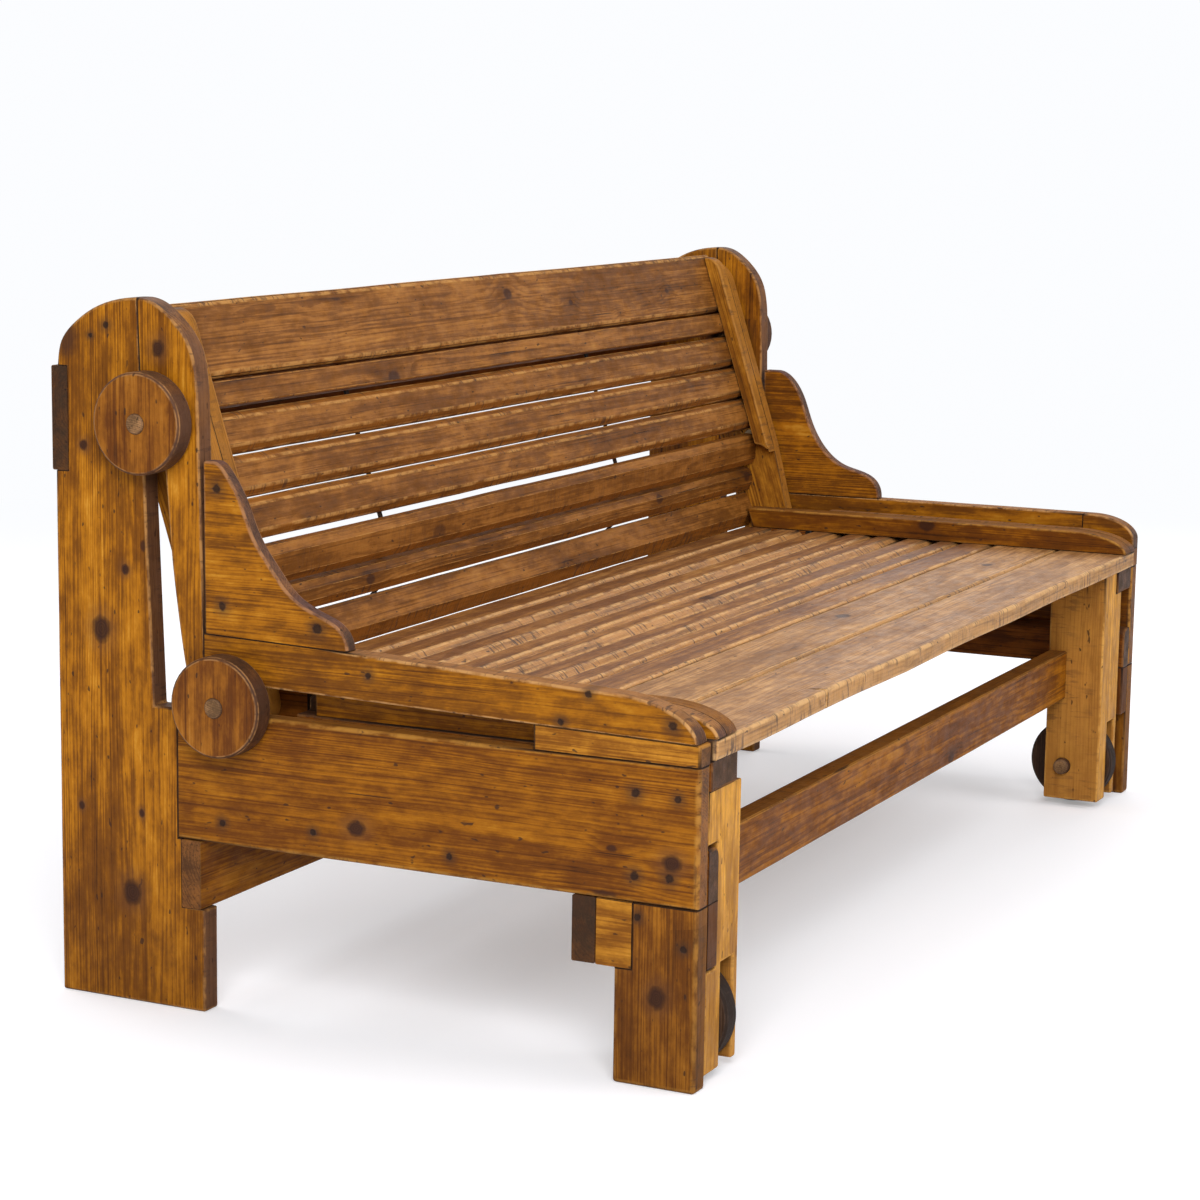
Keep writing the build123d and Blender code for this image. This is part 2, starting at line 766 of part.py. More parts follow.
flat_back_slats = [(*narrow_slat_v, narrow_slat_edge)]
flat_back_slats += [(*ends, wide_slat_edge) for ends in wide_slat_v]
for number, (foot_v, head_v, edge) in enumerate(flat_back_slats, start=1):
    with BuildPart() as back_slat:
        with BuildSketch(back_slat_plane):
            with BuildLine():
                Polyline(
                    (foot_v, back_rear_n),
                    (head_v, back_rear_n),
                    (head_v, back_face_n - edge),
                    (head_v - edge, back_face_n),
                    (foot_v + edge, back_face_n),
                    (foot_v, back_face_n - edge),
                    close=True,
                )
            make_face()
        extrude(amount=2 * slat_end_x)
    back_slat.part.label = f"back_slat_{number}"
    export_step(back_slat.part, f"parts/back_slat_{number}.step")

for number, (centre, width, tilt, heel, head_cut, foot_cut, foot_cut_depth) in enumerate(low_slats, start=5):
    slat_plane = Plane(back_slat_plane.location * Location(centre, tilt))
    with BuildPart() as back_slat:
        with BuildSketch(slat_plane):
            with BuildLine():
                Polyline(
                    (-width / 2, -low_slat_thickness),
                    (width / 2 + heel, -low_slat_thickness),
                    (width / 2, -head_cut_depth),
                    (width / 2 - head_cut, 0),
                    (foot_cut - width / 2, 0),
                    (-width / 2, -foot_cut_depth),
                    close=True,
                )
            make_face()
        extrude(amount=2 * slat_end_x)
    back_slat.part.label = f"back_slat_{number}"
    export_step(back_slat.part, f"parts/back_slat_{number}.step")

with BuildPart() as back_straps:
    for strap_x in (left_strap_x, right_strap_x):
        with BuildSketch(back_plane.offset(strap_x - strap_width / 2)):
            with BuildLine():
                Polyline(
                    (strap_top_v, back_rear_n - strap_gap - strap_thickness / 2),
                    *strap_bends,
                )
            trace(line_width=strap_thickness)
        extrude(amount=strap_width)
back_straps.part.label = "back_straps"
export_step(back_straps.part, "parts/back_straps.step")

with BuildPart() as slot_discs:
    with BuildSketch(Plane.YZ.offset(disc_inner_x)):
        with Locations((upper_pin_y, upper_pin_z), (lower_pin_y, pin_line_z)):
            Circle(disc_radius)
            Circle(pin_radius + running_fit, mode=Mode.SUBTRACT)
    extrude(amount=disc_thickness)
    disc_rims = slot_discs.edges().filter_by(GeomType.CIRCLE)
    chamfer(disc_rims.filter_by(lambda e: e.radius > disc_radius / 2), length=disc_edge)
    mirror(about=Plane.YZ)
slot_discs.part.label = "slot_discs"
export_step(slot_discs.part, "parts/slot_discs.step")

with BuildPart() as upper_pins:
    with BuildSketch(Plane.YZ.offset(member_inner_x + joint_gap)):
        with Locations((upper_pin_y, upper_pin_z)):
            Circle(pin_radius)
    extrude(amount=pin_end_x - member_inner_x - joint_gap)
    chamfer(upper_pins.edges().sort_by(Axis.X)[-1], length=pin_edge)
    mirror(about=Plane.YZ)
upper_pins.part.label = "upper_pins"
export_step(upper_pins.part, "parts/upper_pins.step")

with BuildPart() as lower_pins:
    with BuildSketch(Plane.YZ.offset(rim_inner_x + joint_gap)):
        with Locations((lower_pin_y, pin_line_z)):
            Circle(pin_radius)
    extrude(amount=pin_end_x - rim_inner_x - joint_gap)
    chamfer(lower_pins.edges().sort_by(Axis.X)[-1], length=pin_edge)
    mirror(about=Plane.YZ)
lower_pins.part.label = "lower_pins"
export_step(lower_pins.part, "parts/lower_pins.step")

with BuildPart() as centre_pegs:
    with BuildSketch(Plane.YZ.offset(member_inner_x + peg_inset)):
        with Locations((peg_y, peg_z)):
            Circle(peg_radius)
    extrude(amount=peg_length)
    mirror(about=Plane.YZ)
centre_pegs.part.label = "centre_pegs"
export_step(centre_pegs.part, "parts/centre_pegs.step")

# ======================================= seat ==========================================

with BuildPart() as left_seat_side:
    with BuildSketch(Plane.YZ.offset(-member_outer_x)):
        with BuildLine():
            Polyline(
                (rim_crown_y, rim_top_z),
                (side_rear_y, rim_top_z),
                (side_rear_y, seat_board_z),
                (front_board_rear_y + joint_gap, seat_board_z),
                (front_board_rear_y + joint_gap, rim_base_z),
                (seat_front_y, rim_base_z),
            )
            EllipticalCenterArc(
                center=(rim_crown_y, rim_base_z),
                x_radius=rim_nose_length,
                y_radius=rim_top_z - rim_base_z,
                start_angle=90,
                arc_size=90,
            )
        make_face()
    extrude(amount=member_thickness)
left_seat_side.part.label = "left_seat_side"
export_step(left_seat_side.part, "parts/left_seat_side.step")

with BuildPart() as right_seat_side:
    mirror(left_seat_side.part, about=Plane.YZ)
right_seat_side.part.label = "right_seat_side"
export_step(right_seat_side.part, "parts/right_seat_side.step")

with BuildPart() as seat_rims:
    with BuildSketch(seat_slat_plane):
        with BuildLine():
            Polyline(
                (rim_crown_y, rim_top_z),
                (rim_rear_y(rim_top_z), rim_top_z),
                (rim_rear_y(rim_base_z), rim_base_z),
                (seat_front_y, rim_base_z),
            )
            EllipticalCenterArc(
                center=(rim_crown_y, rim_base_z),
                x_radius=rim_nose_length,
                y_radius=rim_top_z - rim_base_z,
                start_angle=90,
                arc_size=90,
            )
        make_face()
    extrude(amount=rim_width - joint_gap)
    mirror(about=Plane.YZ)
seat_rims.part.label = "seat_rims"
export_step(seat_rims.part, "parts/seat_rims.step")

with BuildPart() as seat_bearers:
    with BuildSketch(Plane.YZ.offset(-bearer_outer_x)):
        with BuildLine():
            Polyline(
                (bearer_front_y, bearer_z),
                (bearer_rear_y, bearer_z),
                (bearer_rear_y, seat_board_z),
                (bearer_front_y, seat_board_z),
                close=True,
            )
        make_face()
    extrude(amount=bearer_width)
    mirror(about=Plane.YZ)
seat_bearers.part.label = "seat_bearers"
export_step(seat_bearers.part, "parts/seat_bearers.step")

with BuildPart() as hinge_blocks:
    with BuildSketch(Plane.YZ.offset(-member_inner_x + hinge_block_gap)):
        with BuildLine():
            Polyline(
                (bearer_rear_y + joint_gap, bearer_z),
                (hinge_block_rear_y, bearer_z),
                (hinge_block_rear_y, seat_top_z),
                (bearer_rear_y + joint_gap, seat_top_z),
                close=True,
            )
        make_face()
    extrude(amount=rim_width - hinge_block_gap)
    low_edges = hinge_blocks.edges().filter_by(Axis.X).group_by(Axis.Z)[0]
    fillet(low_edges.sort_by(Axis.Y)[-1], radius=hinge_block_round)
    with BuildSketch(Plane.YZ.offset(-member_inner_x)):
        with Locations((lower_pin_y, pin_line_z)):
            Circle(pin_radius + running_fit)
    extrude(amount=rim_width, mode=Mode.SUBTRACT)
    mirror(about=Plane.YZ)
hinge_blocks.part.label = "hinge_blocks"
export_step(hinge_blocks.part, "parts/hinge_blocks.step")

with BuildPart() as seat_front_board:
    wave_step = 2 * member_outer_x / (len(front_board_wave) - 1)
    wave = [
        (-member_outer_x + place * wave_step, seat_front_y + depth)
        for place, depth in enumerate(front_board_wave)
    ]
    with BuildSketch(Plane.XY.offset(seat_board_z)):
        with BuildLine():
            front_edge = Spline(*wave)
            Polyline(
                front_edge @ 1,
                (member_outer_x, front_board_rear_y),
                (-member_outer_x, front_board_rear_y),
                front_edge @ 0,
            )
        make_face()
    extrude(amount=seat_board_thickness)
    worn_edge = seat_front_board.edges().group_by(Axis.Z)[-1].sort_by(Axis.Y)[0]
    chamfer(worn_edge, length=front_board_edge)
    with Locations((saw_cut_x, seat_front_y, seat_board_z)):
        Box(
            saw_cut_width,
            saw_cut_depth,
            seat_board_thickness,
            align=(Align.CENTER, Align.MIN, Align.MIN),
            mode=Mode.SUBTRACT,
        )
seat_front_board.part.label = "seat_front_board"
export_step(seat_front_board.part, "parts/seat_front_board.step")

with BuildPart() as seat_second_board:
    with BuildSketch(seat_slat_plane):
        with BuildLine():
            Polyline(
                (second_board_front_y, seat_board_z),
                (second_board_rear_y, seat_board_z),
                (second_board_rear_y, seat_top_z - second_board_edge),
                (second_board_rear_y - second_board_edge, seat_top_z),
                (second_board_front_y + second_board_edge, seat_top_z),
                (second_board_front_y, seat_top_z - second_board_edge),
                close=True,
            )
        make_face()
    extrude(amount=2 * slat_end_x)
seat_second_board.part.label = "seat_second_board"
export_step(seat_second_board.part, "parts/seat_second_board.step")

# The last two slats are shorter: the hinge blocks stand at their ends.
slat_front_y = second_board_rear_y
seat_slat_rows = [(row, slat_end_x) for row in long_seat_slats]
seat_slat_rows += [(row, rim_inner_x - joint_gap) for row in short_seat_slats]
for number, ((gap, front_edge, face, rear_edge), end_x) in enumerate(seat_slat_rows, start=1):
    slat_front_y += gap
    slat_rear_y = slat_front_y + front_edge + face + rear_edge
    with BuildPart() as seat_slat:
        with BuildSketch(Plane.YZ.offset(-end_x)):
            with BuildLine():
                Polyline(
                    (slat_front_y, seat_board_z),
                    (slat_rear_y, seat_board_z),
                    (slat_rear_y, seat_top_z - slat_edge_drop),
                    (slat_rear_y - rear_edge, seat_top_z),
                    (slat_front_y + front_edge, seat_top_z),
                    (slat_front_y, seat_top_z - slat_edge_drop),
                    close=True,
                )
            make_face()
        extrude(amount=2 * end_x)
    seat_slat.part.label = f"seat_slat_{number}"
    export_step(seat_slat.part, f"parts/seat_slat_{number}.step")
    slat_front_y = slat_rear_y

# ================================ seat legs and wheels =================================

with BuildPart() as left_seat_leg:
    with BuildSketch(Plane.XZ.offset(-seat_leg_rear_y)):
        with BuildLine():
            Polyline(
                (left_leg_inner_x, seat_leg_bottom_z),
                (left_leg_inner_x, bearer_z - joint_gap),
                (-bearer_outer_x, bearer_z - joint_gap),
                (-bearer_outer_x, rebate_top_z),
                (left_rebate_x, rebate_top_z),
                (left_rebate_x, rebate_bottom_z),
                (-bearer_outer_x, rebate_bottom_z),
                (-bearer_outer_x, seat_leg_bottom_z),
                (left_slot_outer_x, seat_leg_bottom_z),
                (left_slot_outer_x, wheel_slot_top_z),
                (left_slot_inner_x, wheel_slot_top_z),
                (left_slot_inner_x, seat_leg_bottom_z),
                close=True,
            )
        make_face()
    extrude(amount=seat_leg_depth)
    with BuildSketch(Plane.YZ.offset(-bearer_outer_x)):
        with Locations((wheel_y, wheel_radius)):
            Circle(axle_radius + running_fit)
    extrude(amount=seat_leg_width, mode=Mode.SUBTRACT)
left_seat_leg.part.label = "left_seat_leg"
export_step(left_seat_leg.part, "parts/left_seat_leg.step")

with BuildPart() as right_seat_leg:
    with BuildSketch(Plane.XZ.offset(-seat_leg_rear_y)):
        with BuildLine():
            Polyline(
                (right_leg_inner_x, seat_leg_bottom_z),
                (right_leg_inner_x, seat_board_z - joint_gap),
                (bearer_inner_x - joint_gap, seat_board_z - joint_gap),
                (bearer_inner_x - joint_gap, bearer_z - joint_gap),
                (right_leg_outer_x, bearer_z - joint_gap),
                (right_leg_outer_x, seat_leg_bottom_z),
                (right_slot_outer_x, seat_leg_bottom_z),
                (right_slot_outer_x, wheel_slot_top_z),
                (right_slot_inner_x, wheel_slot_top_z),
                (right_slot_inner_x, seat_leg_bottom_z),
                close=True,
            )
        make_face()
    extrude(amount=seat_leg_depth)
    with BuildSketch(Plane.YZ.offset(right_leg_inner_x)):
        with Locations((wheel_y, wheel_radius)):
            Circle(axle_radius + running_fit)
    extrude(amount=seat_leg_width, mode=Mode.SUBTRACT)
right_seat_leg.part.label = "right_seat_leg"
export_step(right_seat_leg.part, "parts/right_seat_leg.step")

with BuildPart() as seat_leg_stretcher:
    with BuildSketch(Plane.YZ.offset(left_leg_inner_x + joint_gap)):
        with Locations((seat_leg_rear_y, leg_stretcher_bottom_z)):
            Rectangle(leg_stretcher_thickness, leg_stretcher_height, align=(Align.MAX, Align.MIN))
    extrude(amount=right_leg_inner_x - left_leg_inner_x - 2 * joint_gap)
    chamfer(seat_leg_stretcher.edges().filter_by(Axis.X), length=leg_stretcher_edge)
seat_leg_stretcher.part.label = "seat_leg_stretcher"
export_step(seat_leg_stretcher.part, "parts/seat_leg_stretcher.step")

with BuildPart() as left_wheel_axle:
    with BuildSketch(Plane.YZ.offset(-bearer_outer_x)):
        with Locations((wheel_y, wheel_radius)):
            Circle(axle_radius)
    extrude(amount=seat_leg_width + axle_proud)
    chamfer(left_wheel_axle.edges().sort_by(Axis.X)[-1], length=axle_edge)
left_wheel_axle.part.label = "left_wheel_axle"
export_step(left_wheel_axle.part, "parts/left_wheel_axle.step")

with BuildPart() as right_wheel_axle:
    with BuildSketch(Plane.YZ.offset(right_leg_inner_x - axle_proud)):
        with Locations((wheel_y, wheel_radius)):
            Circle(axle_radius)
    extrude(amount=seat_leg_width + axle_proud)
    chamfer(right_wheel_axle.edges().sort_by(Axis.X)[0], length=axle_edge)
right_wheel_axle.part.label = "right_wheel_axle"
export_step(right_wheel_axle.part, "parts/right_wheel_axle.step")

with BuildPart() as left_wheel:
    with BuildSketch(Plane.YZ.offset((left_slot_outer_x + left_slot_inner_x - wheel_thickness) / 2)):
        with Locations((wheel_y, wheel_radius)):
            Circle(wheel_radius)
            Circle(axle_radius + running_fit, mode=Mode.SUBTRACT)
    extrude(amount=wheel_thickness)
    wheel_rims = left_wheel.edges().filter_by(GeomType.CIRCLE)
    chamfer(wheel_rims.filter_by(lambda e: e.radius > wheel_radius / 2), length=wheel_edge)
left_wheel.part.label = "left_wheel"
export_step(left_wheel.part, "parts/left_wheel.step")

with BuildPart() as right_wheel:
    with BuildSketch(Plane.YZ.offset((right_slot_inner_x + right_slot_outer_x - wheel_thickness) / 2)):
        with Locations((wheel_y, wheel_radius)):
            Circle(wheel_radius)
            Circle(axle_radius + running_fit, mode=Mode.SUBTRACT)
    extrude(amount=wheel_thickness)
    wheel_rims = right_wheel.edges().filter_by(GeomType.CIRCLE)
    chamfer(wheel_rims.filter_by(lambda e: e.radius > wheel_radius / 2), length=wheel_edge)
right_wheel.part.label = "right_wheel"
export_step(right_wheel.part, "parts/right_wheel.step")
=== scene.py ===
"""A pull-out bench bed in old oiled pine: every board aged, grained and worn."""

import json
import logging
from dataclasses import dataclass, field
from enum import Enum
from math import cos, radians, sin

import bpy
from mathutils import Matrix, Vector
from mathutils.bvhtree import BVHTree

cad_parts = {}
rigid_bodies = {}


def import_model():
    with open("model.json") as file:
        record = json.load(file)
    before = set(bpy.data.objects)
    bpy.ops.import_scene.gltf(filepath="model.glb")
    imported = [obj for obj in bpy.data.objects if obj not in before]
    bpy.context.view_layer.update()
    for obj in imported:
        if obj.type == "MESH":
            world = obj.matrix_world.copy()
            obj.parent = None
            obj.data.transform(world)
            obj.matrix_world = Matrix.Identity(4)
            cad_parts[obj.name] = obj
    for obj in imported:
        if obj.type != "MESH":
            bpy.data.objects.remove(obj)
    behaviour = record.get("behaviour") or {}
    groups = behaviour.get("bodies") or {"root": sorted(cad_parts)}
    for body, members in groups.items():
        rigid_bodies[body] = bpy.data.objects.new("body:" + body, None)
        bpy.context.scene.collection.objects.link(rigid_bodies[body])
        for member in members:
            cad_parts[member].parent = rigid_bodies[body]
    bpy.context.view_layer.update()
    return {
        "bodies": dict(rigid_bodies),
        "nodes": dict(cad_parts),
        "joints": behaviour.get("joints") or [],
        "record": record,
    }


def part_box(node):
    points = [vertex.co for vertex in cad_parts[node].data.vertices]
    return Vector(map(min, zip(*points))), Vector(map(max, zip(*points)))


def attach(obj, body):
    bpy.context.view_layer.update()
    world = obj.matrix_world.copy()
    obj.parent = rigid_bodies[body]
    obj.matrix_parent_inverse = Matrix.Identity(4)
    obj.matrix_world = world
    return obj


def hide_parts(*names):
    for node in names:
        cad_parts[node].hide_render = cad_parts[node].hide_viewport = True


log = logging.getLogger("bench_bed")

Colour = tuple[float, float, float]
Point = tuple[float, float, float]
Socket = bpy.types.NodeSocket
Sockets = bpy.types.bpy_prop_collection

BACK_ANGLE = radians(72.111)
SIDEWAYS = (1, 0, 0)
UPWARDS = (0, 0, 1)

# Points nearer than this are one point.
MERGE_REACH = 0.00002
# Faces that turn less than this are one face, in any piece and in a sawn outline.
FACE_TURN = radians(0.8)
OUTLINE_TURN = radians(0.1)
# How squarely a face has to look one way to count as looking that way.
SQUARE_ON = 0.999
# The end face of a round piece has more corners than this.
FEW_CORNERS = 8
# How near pieces lie when their boxes, their edges or their rubbed faces meet.
BOX_REACH = 0.003
JOINT_REACH = 0.0012
SEAM_REACH = 0.0015
# How wide an edge in a joint is rubbed, as a share of a free one.
JOINT_WEIGHT = 0.25
RUBBED_STEPS = 4
RUBBED_PROFILE = 0.62
FACE_WEIGHT = 80
UNEVEN_SIZE = 0.15


def tone(code: str) -> Colour:
    """Turns a six-digit hex colour into linear red, green and blue."""
    parts = [int(code[i : i + 2], 16) / 255 for i in (0, 2, 4)]
    return tuple(p / 12.92 if p <= 0.04045 else ((p + 0.055) / 1.055) ** 2.4 for p in parts)


class Grain(Enum):
    """How a board lies: the direction of its grain, then the direction across its face."""

    SEAT_SLAT = ((1, 0, 0), (0, 1, 0))
    BACK_SLAT = ((1, 0, 0), (0, cos(BACK_ANGLE), sin(BACK_ANGLE)))
    RAIL_ON_EDGE = ((1, 0, 0), (0, 0, 1))
    SIDE_BOARD = ((0, 1, 0), (0, 0, 1))
    POST = ((0, 0, 1), (0, -1, 0))
    LEG = ((0, 0, 1), (1, 0, 0))
    BACK_MEMBER = ((0, cos(BACK_ANGLE), sin(BACK_ANGLE)), (0, -sin(BACK_ANGLE), cos(BACK_ANGLE)))
    DOWEL = ((1, 0, 0), (0, 1, 0.001))

    def turn(self) -> Matrix:
        """Gives the rotation from the bench's axes to along, across and through the board."""
        along = Vector(self.value[0]).normalized()
        across = Vector(self.value[1]).normalized()
        return Matrix((along, across, along.cross(across)))


class Mark(Enum):
    """A blemish in the face of a board."""

    KNOT = "knot_mark"
    NAIL = "nail_mark"
    STAIN = "stain_mark"


@dataclass(frozen=True)
class Finish:
    """One colouring of the oiled pine.

    Args:
        light: The early wood.
        dark: The late wood between it.
        pale: Where the oil has worn thin.
        stain: What the large blotches turn to.
        edge: Narrow faces and chamfers.
        rubbed: The arrises.
        end: Sawn ends.
        rings: Growth rings in a metre.
        shine: Roughness of the rubbed face.
        scuffs: How many dark scuffs the edges hold.
        blotches: How strongly the stain shows.
        gloss: How much the wax on it mirrors.
    """

    light: Colour
    dark: Colour
    pale: Colour
    stain: Colour
    edge: Colour
    rubbed: Colour
    end: Colour
    rings: float = 250.0
    shine: float = 0.5
    scuffs: float = 0.5
    blotches: float = 0.7
    gloss: float = 0.12


def stock(colours: str, **more: float) -> Finish:
    """Makes a finish.

    Args:
        colours: Its hex colours in the order of the fields: light, dark, pale, stain, edge, rubbed, end.
        more: Its other fields.

    Returns:
        The finish.
    """
    return Finish(*(tone(code) for code in colours.split()), **more)


@dataclass(frozen=True)
class Figure:
    """One kind of unevenness in the wood.

    Args:
        pace: How often it changes in a metre along, across and through the board.
        detail: How many finer layers it has.
        rough: How strong they are.
        share: How far it darkens the wood.
    """

    pace: Point
    detail: float = 2.0
    rough: float = 0.5
    share: float = 0.0


SWAY = Figure((1.6, 9.0, 9.0))
RIPPLE = Figure((14.0, 60.0, 60.0), 3.0)
CLOUD = Figure((3.4, 12.0, 12.0), 5.0, 0.7, 1.25)
SMEAR = Figure((2.6, 30.0, 30.0), 3.0, 0.6, 0.7)
STREAK = Figure((4.0, 130.0, 130.0), 2.0, 0.6, 0.3)
MOTTLE = Figure((26.0, 48.0, 48.0), 4.0, 0.7, 0.7)
FIBRE = Figure((14.0, 480.0, 480.0), 3.0, 0.7, 0.5)
LINE = Figure((2.2, 300.0, 300.0), 2.0, 0.6, 0.2)
RUB = Figure((34.0, 60.0, 60.0), 3.0, 0.65)
DASH = Figure((170.0, 30.0, 30.0), 3.0, 0.6)
SPECK = Figure((70.0, 150.0, 150.0), 1.0)
CRACK = Figure((5.0, 230.0, 120.0), 1.0)

BACKGROUND = (0.97, 0.98, 1.0)
FLOOR_PAINT = (0.80, 0.80, 0.83)
KNOT_HEART = (0.04, 0.014, 0.007)
END_DIRT = (0.03, 0.017, 0.01)
SCUFF_DIRT = (0.05, 0.026, 0.018)
SPECK_DIRT = (0.035, 0.017, 0.01)
CRACK_DIRT = (0.02, 0.01, 0.006)
# Dirt and painted shade in the joints, where a rubbed edge lies against another piece.
SEAM_DIRT_AND_SHADE = (0.016, 0.009, 0.006)

AMBER = stock("9A5E0E 6A3A0A B87C22 3E200A 8A5822 B07C34 84542A")
ARCH = stock("B27012 76440C D09230 3C200A 6A4832 B88448 624434", scuffs=0.7)
RAIL = stock("A4660E 6C3E0C C08828 3A1E0A 96663A C8965C 5E4034", scuffs=0.9, blotches=0.8)
AMBER_DARK = stock("8A4E14 5C300C A46620 361C0C 5E3A20 84562A 46301E", blotches=0.8)
WORN_EDGE = stock("A86810 6C3E0C C68C2C 3A1E0A 5E4038 A8764C 5E4034", scuffs=0.8, blotches=0.85)
LEG_HONEY = stock("B87A22 804C12 DCA044 4A2C0C A86E28 B07A36 6A4424", rings=290, blotches=0.6)
BACK_BROWN = stock("98622A 6C4014 B27C3A 3C2210 8C541A C08C4E 4A2E1C", rings=330, scuffs=0.8, blotches=0.6)
SEAT_BROWN = stock(
    "A26E38 744824 C49658 4A2E1A B47E44 D4A468 4A3020",
    rings=300,
    shine=0.42,
    scuffs=1.0,
    blotches=0.6,
    gloss=0.4,
)
SEAT_BOARD = stock(
    "BC8A54 8C6036 DAAE76 543620 B8864C D8AA70 4A3020",
    rings=300,
    shine=0.42,
    scuffs=0.9,
    blotches=0.6,
    gloss=0.35,
)
# A lighter copy of the honey finish for the seat legs: painted light, standing in for the strong front light
# on their faces.
SEAT_LEG_PAINTED_LIGHT = stock("D69838 A4702A F0BE60 7A4A1A B67C34 D8A050 7A5028", rings=290, blotches=0.6)
LEG_AMBER = stock("985E16 683A0C B47C2A 361E0A 7E5022 A87430 6A4424")
DISC_BROWN = stock("965C1A 643610 AC7430 3E2410 54392A A47648 5A3E2C", rings=380)
DOWEL_DARK = stock("7E5838 4E3220 96704C 302016 503828 7E6048 A87C50", rings=420)
WHEEL_GREY = stock("584232 3A281C 6E5642 261A14 2E231D 54443A 3C2E26", rings=300, shine=0.6)


class Wiring:
    """Adds and links the nodes of one tree."""

    def __init__(self, tree: bpy.types.NodeTree) -> None:
        """Keeps the tree."""
        self.tree = tree

    def add(self, kind: str, inputs: dict | None = None, **settings: object) -> bpy.types.Node:
        """Makes a node.

        Args:
            kind: The node's type.
            inputs: What goes into its sockets, by name or number: a value or another socket.
            settings: The node's own settings.

        Returns:
            The node.
        """
        node = self.tree.nodes.new(kind)
        for name, value in settings.items():
            setattr(node, name, value)
        for name, value in (inputs or {}).items():
            self.feed(node.inputs[name], value)
        return node

    def feed(self, socket: Socket, value: object) -> None:
        """Links a socket to another one, or sets it."""
        if isinstance(value, Socket):
            self.tree.links.new(value, socket)
        elif socket.type == "RGBA" and len(value) == 3:
            socket.default_value = (*value, 1.0)
        else:
            socket.default_value = value

    def math(self, operation: str, *values: object, clamp: bool = False) -> Socket:
        """Gives the result of a Math node."""
        node = self.add("ShaderNodeMath", dict(enumerate(values)), operation=operation, use_clamp=clamp)
        return node.outputs[0]

    def vector(self, operation: str, *values: object) -> Socket:
        """Gives the result of a Vector Math node."""
        node = self.add("ShaderNodeVectorMath", dict(enumerate(values)), operation=operation)
        return node.outputs["Value" if operation in ("LENGTH", "DISTANCE", "DOT_PRODUCT") else "Vector"]

    def spread(self, value: object, low: float, high: float, start: float = 0.0, end: float = 1.0) -> Socket:
        """Maps a value smoothly from the range low to high to the range start to end."""
        sockets = {"Value": value, "From Min": low, "From Max": high, "To Min": start, "To Max": end}
        return self.add("ShaderNodeMapRange", sockets, interpolation_type="SMOOTHSTEP").outputs["Result"]

    def noise(self, where: object, scale: float, detail: float = 2.0, rough: float = 0.5) -> Socket:
        """Gives a noise value at a point."""
        sockets = {"Vector": where, "Scale": scale, "Detail": detail, "Roughness": rough}
        return self.add("ShaderNodeTexNoise", sockets).outputs[0]

    def figure(self, point: Socket, kind: Figure) -> Socket:
        """Gives the value of one kind of unevenness at a point of the board."""
        return self.noise(self.vector("MULTIPLY", point, kind.pace), 1.0, kind.detail, kind.rough)

    def drift(self, point: Socket, kind: Figure, reach: float) -> Socket:
        """Gives a shift across the board that wanders with one kind of unevenness."""
        at = self.vector("MULTIPLY", point, kind.pace)
        sockets = {"Vector": at, "Scale": 1.0, "Detail": kind.detail}
        colour = self.add("ShaderNodeTexNoise", sockets).outputs["Color"]
        centred = self.vector("SUBTRACT", colour, (0.5, 0.5, 0.5))
        return self.vector("MULTIPLY", centred, (0.0, reach, reach))

    def mix(self, share: object, first: object, second: object) -> Socket:
        """Mixes two colours."""
        node = self.add("ShaderNodeMix", data_type="RGBA")
        for place, value in ((0, share), (6, first), (7, second)):
            self.feed(node.inputs[place], value)
        return node.outputs[2]


def new_group(name: str, inputs: dict[str, tuple], outputs: dict[str, str]) -> tuple:
    """Starts a shader node group.

    Args:
        name: The group's name.
        inputs: Socket type and default value by name.
        outputs: Socket type by name.

    Returns:
        The group, its wiring, its input sockets and its output node.
    """
    group = bpy.data.node_groups.new(name, "ShaderNodeTree")
    for label, (kind, value) in inputs.items():
        socket = group.interface.new_socket(label, in_out="INPUT", socket_type=kind)
        if value is not None:
            socket.default_value = (*value, 1.0) if kind == "NodeSocketColor" else value
    for label, kind in outputs.items():
        group.interface.new_socket(label, in_out="OUTPUT", socket_type=kind)
    wiring = Wiring(group)
    return group, wiring, wiring.add("NodeGroupInput").outputs, wiring.add("NodeGroupOutput")


FLOAT = "NodeSocketFloat"
VECTOR = "NodeSocketVector"
COLOUR = "NodeSocketColor"


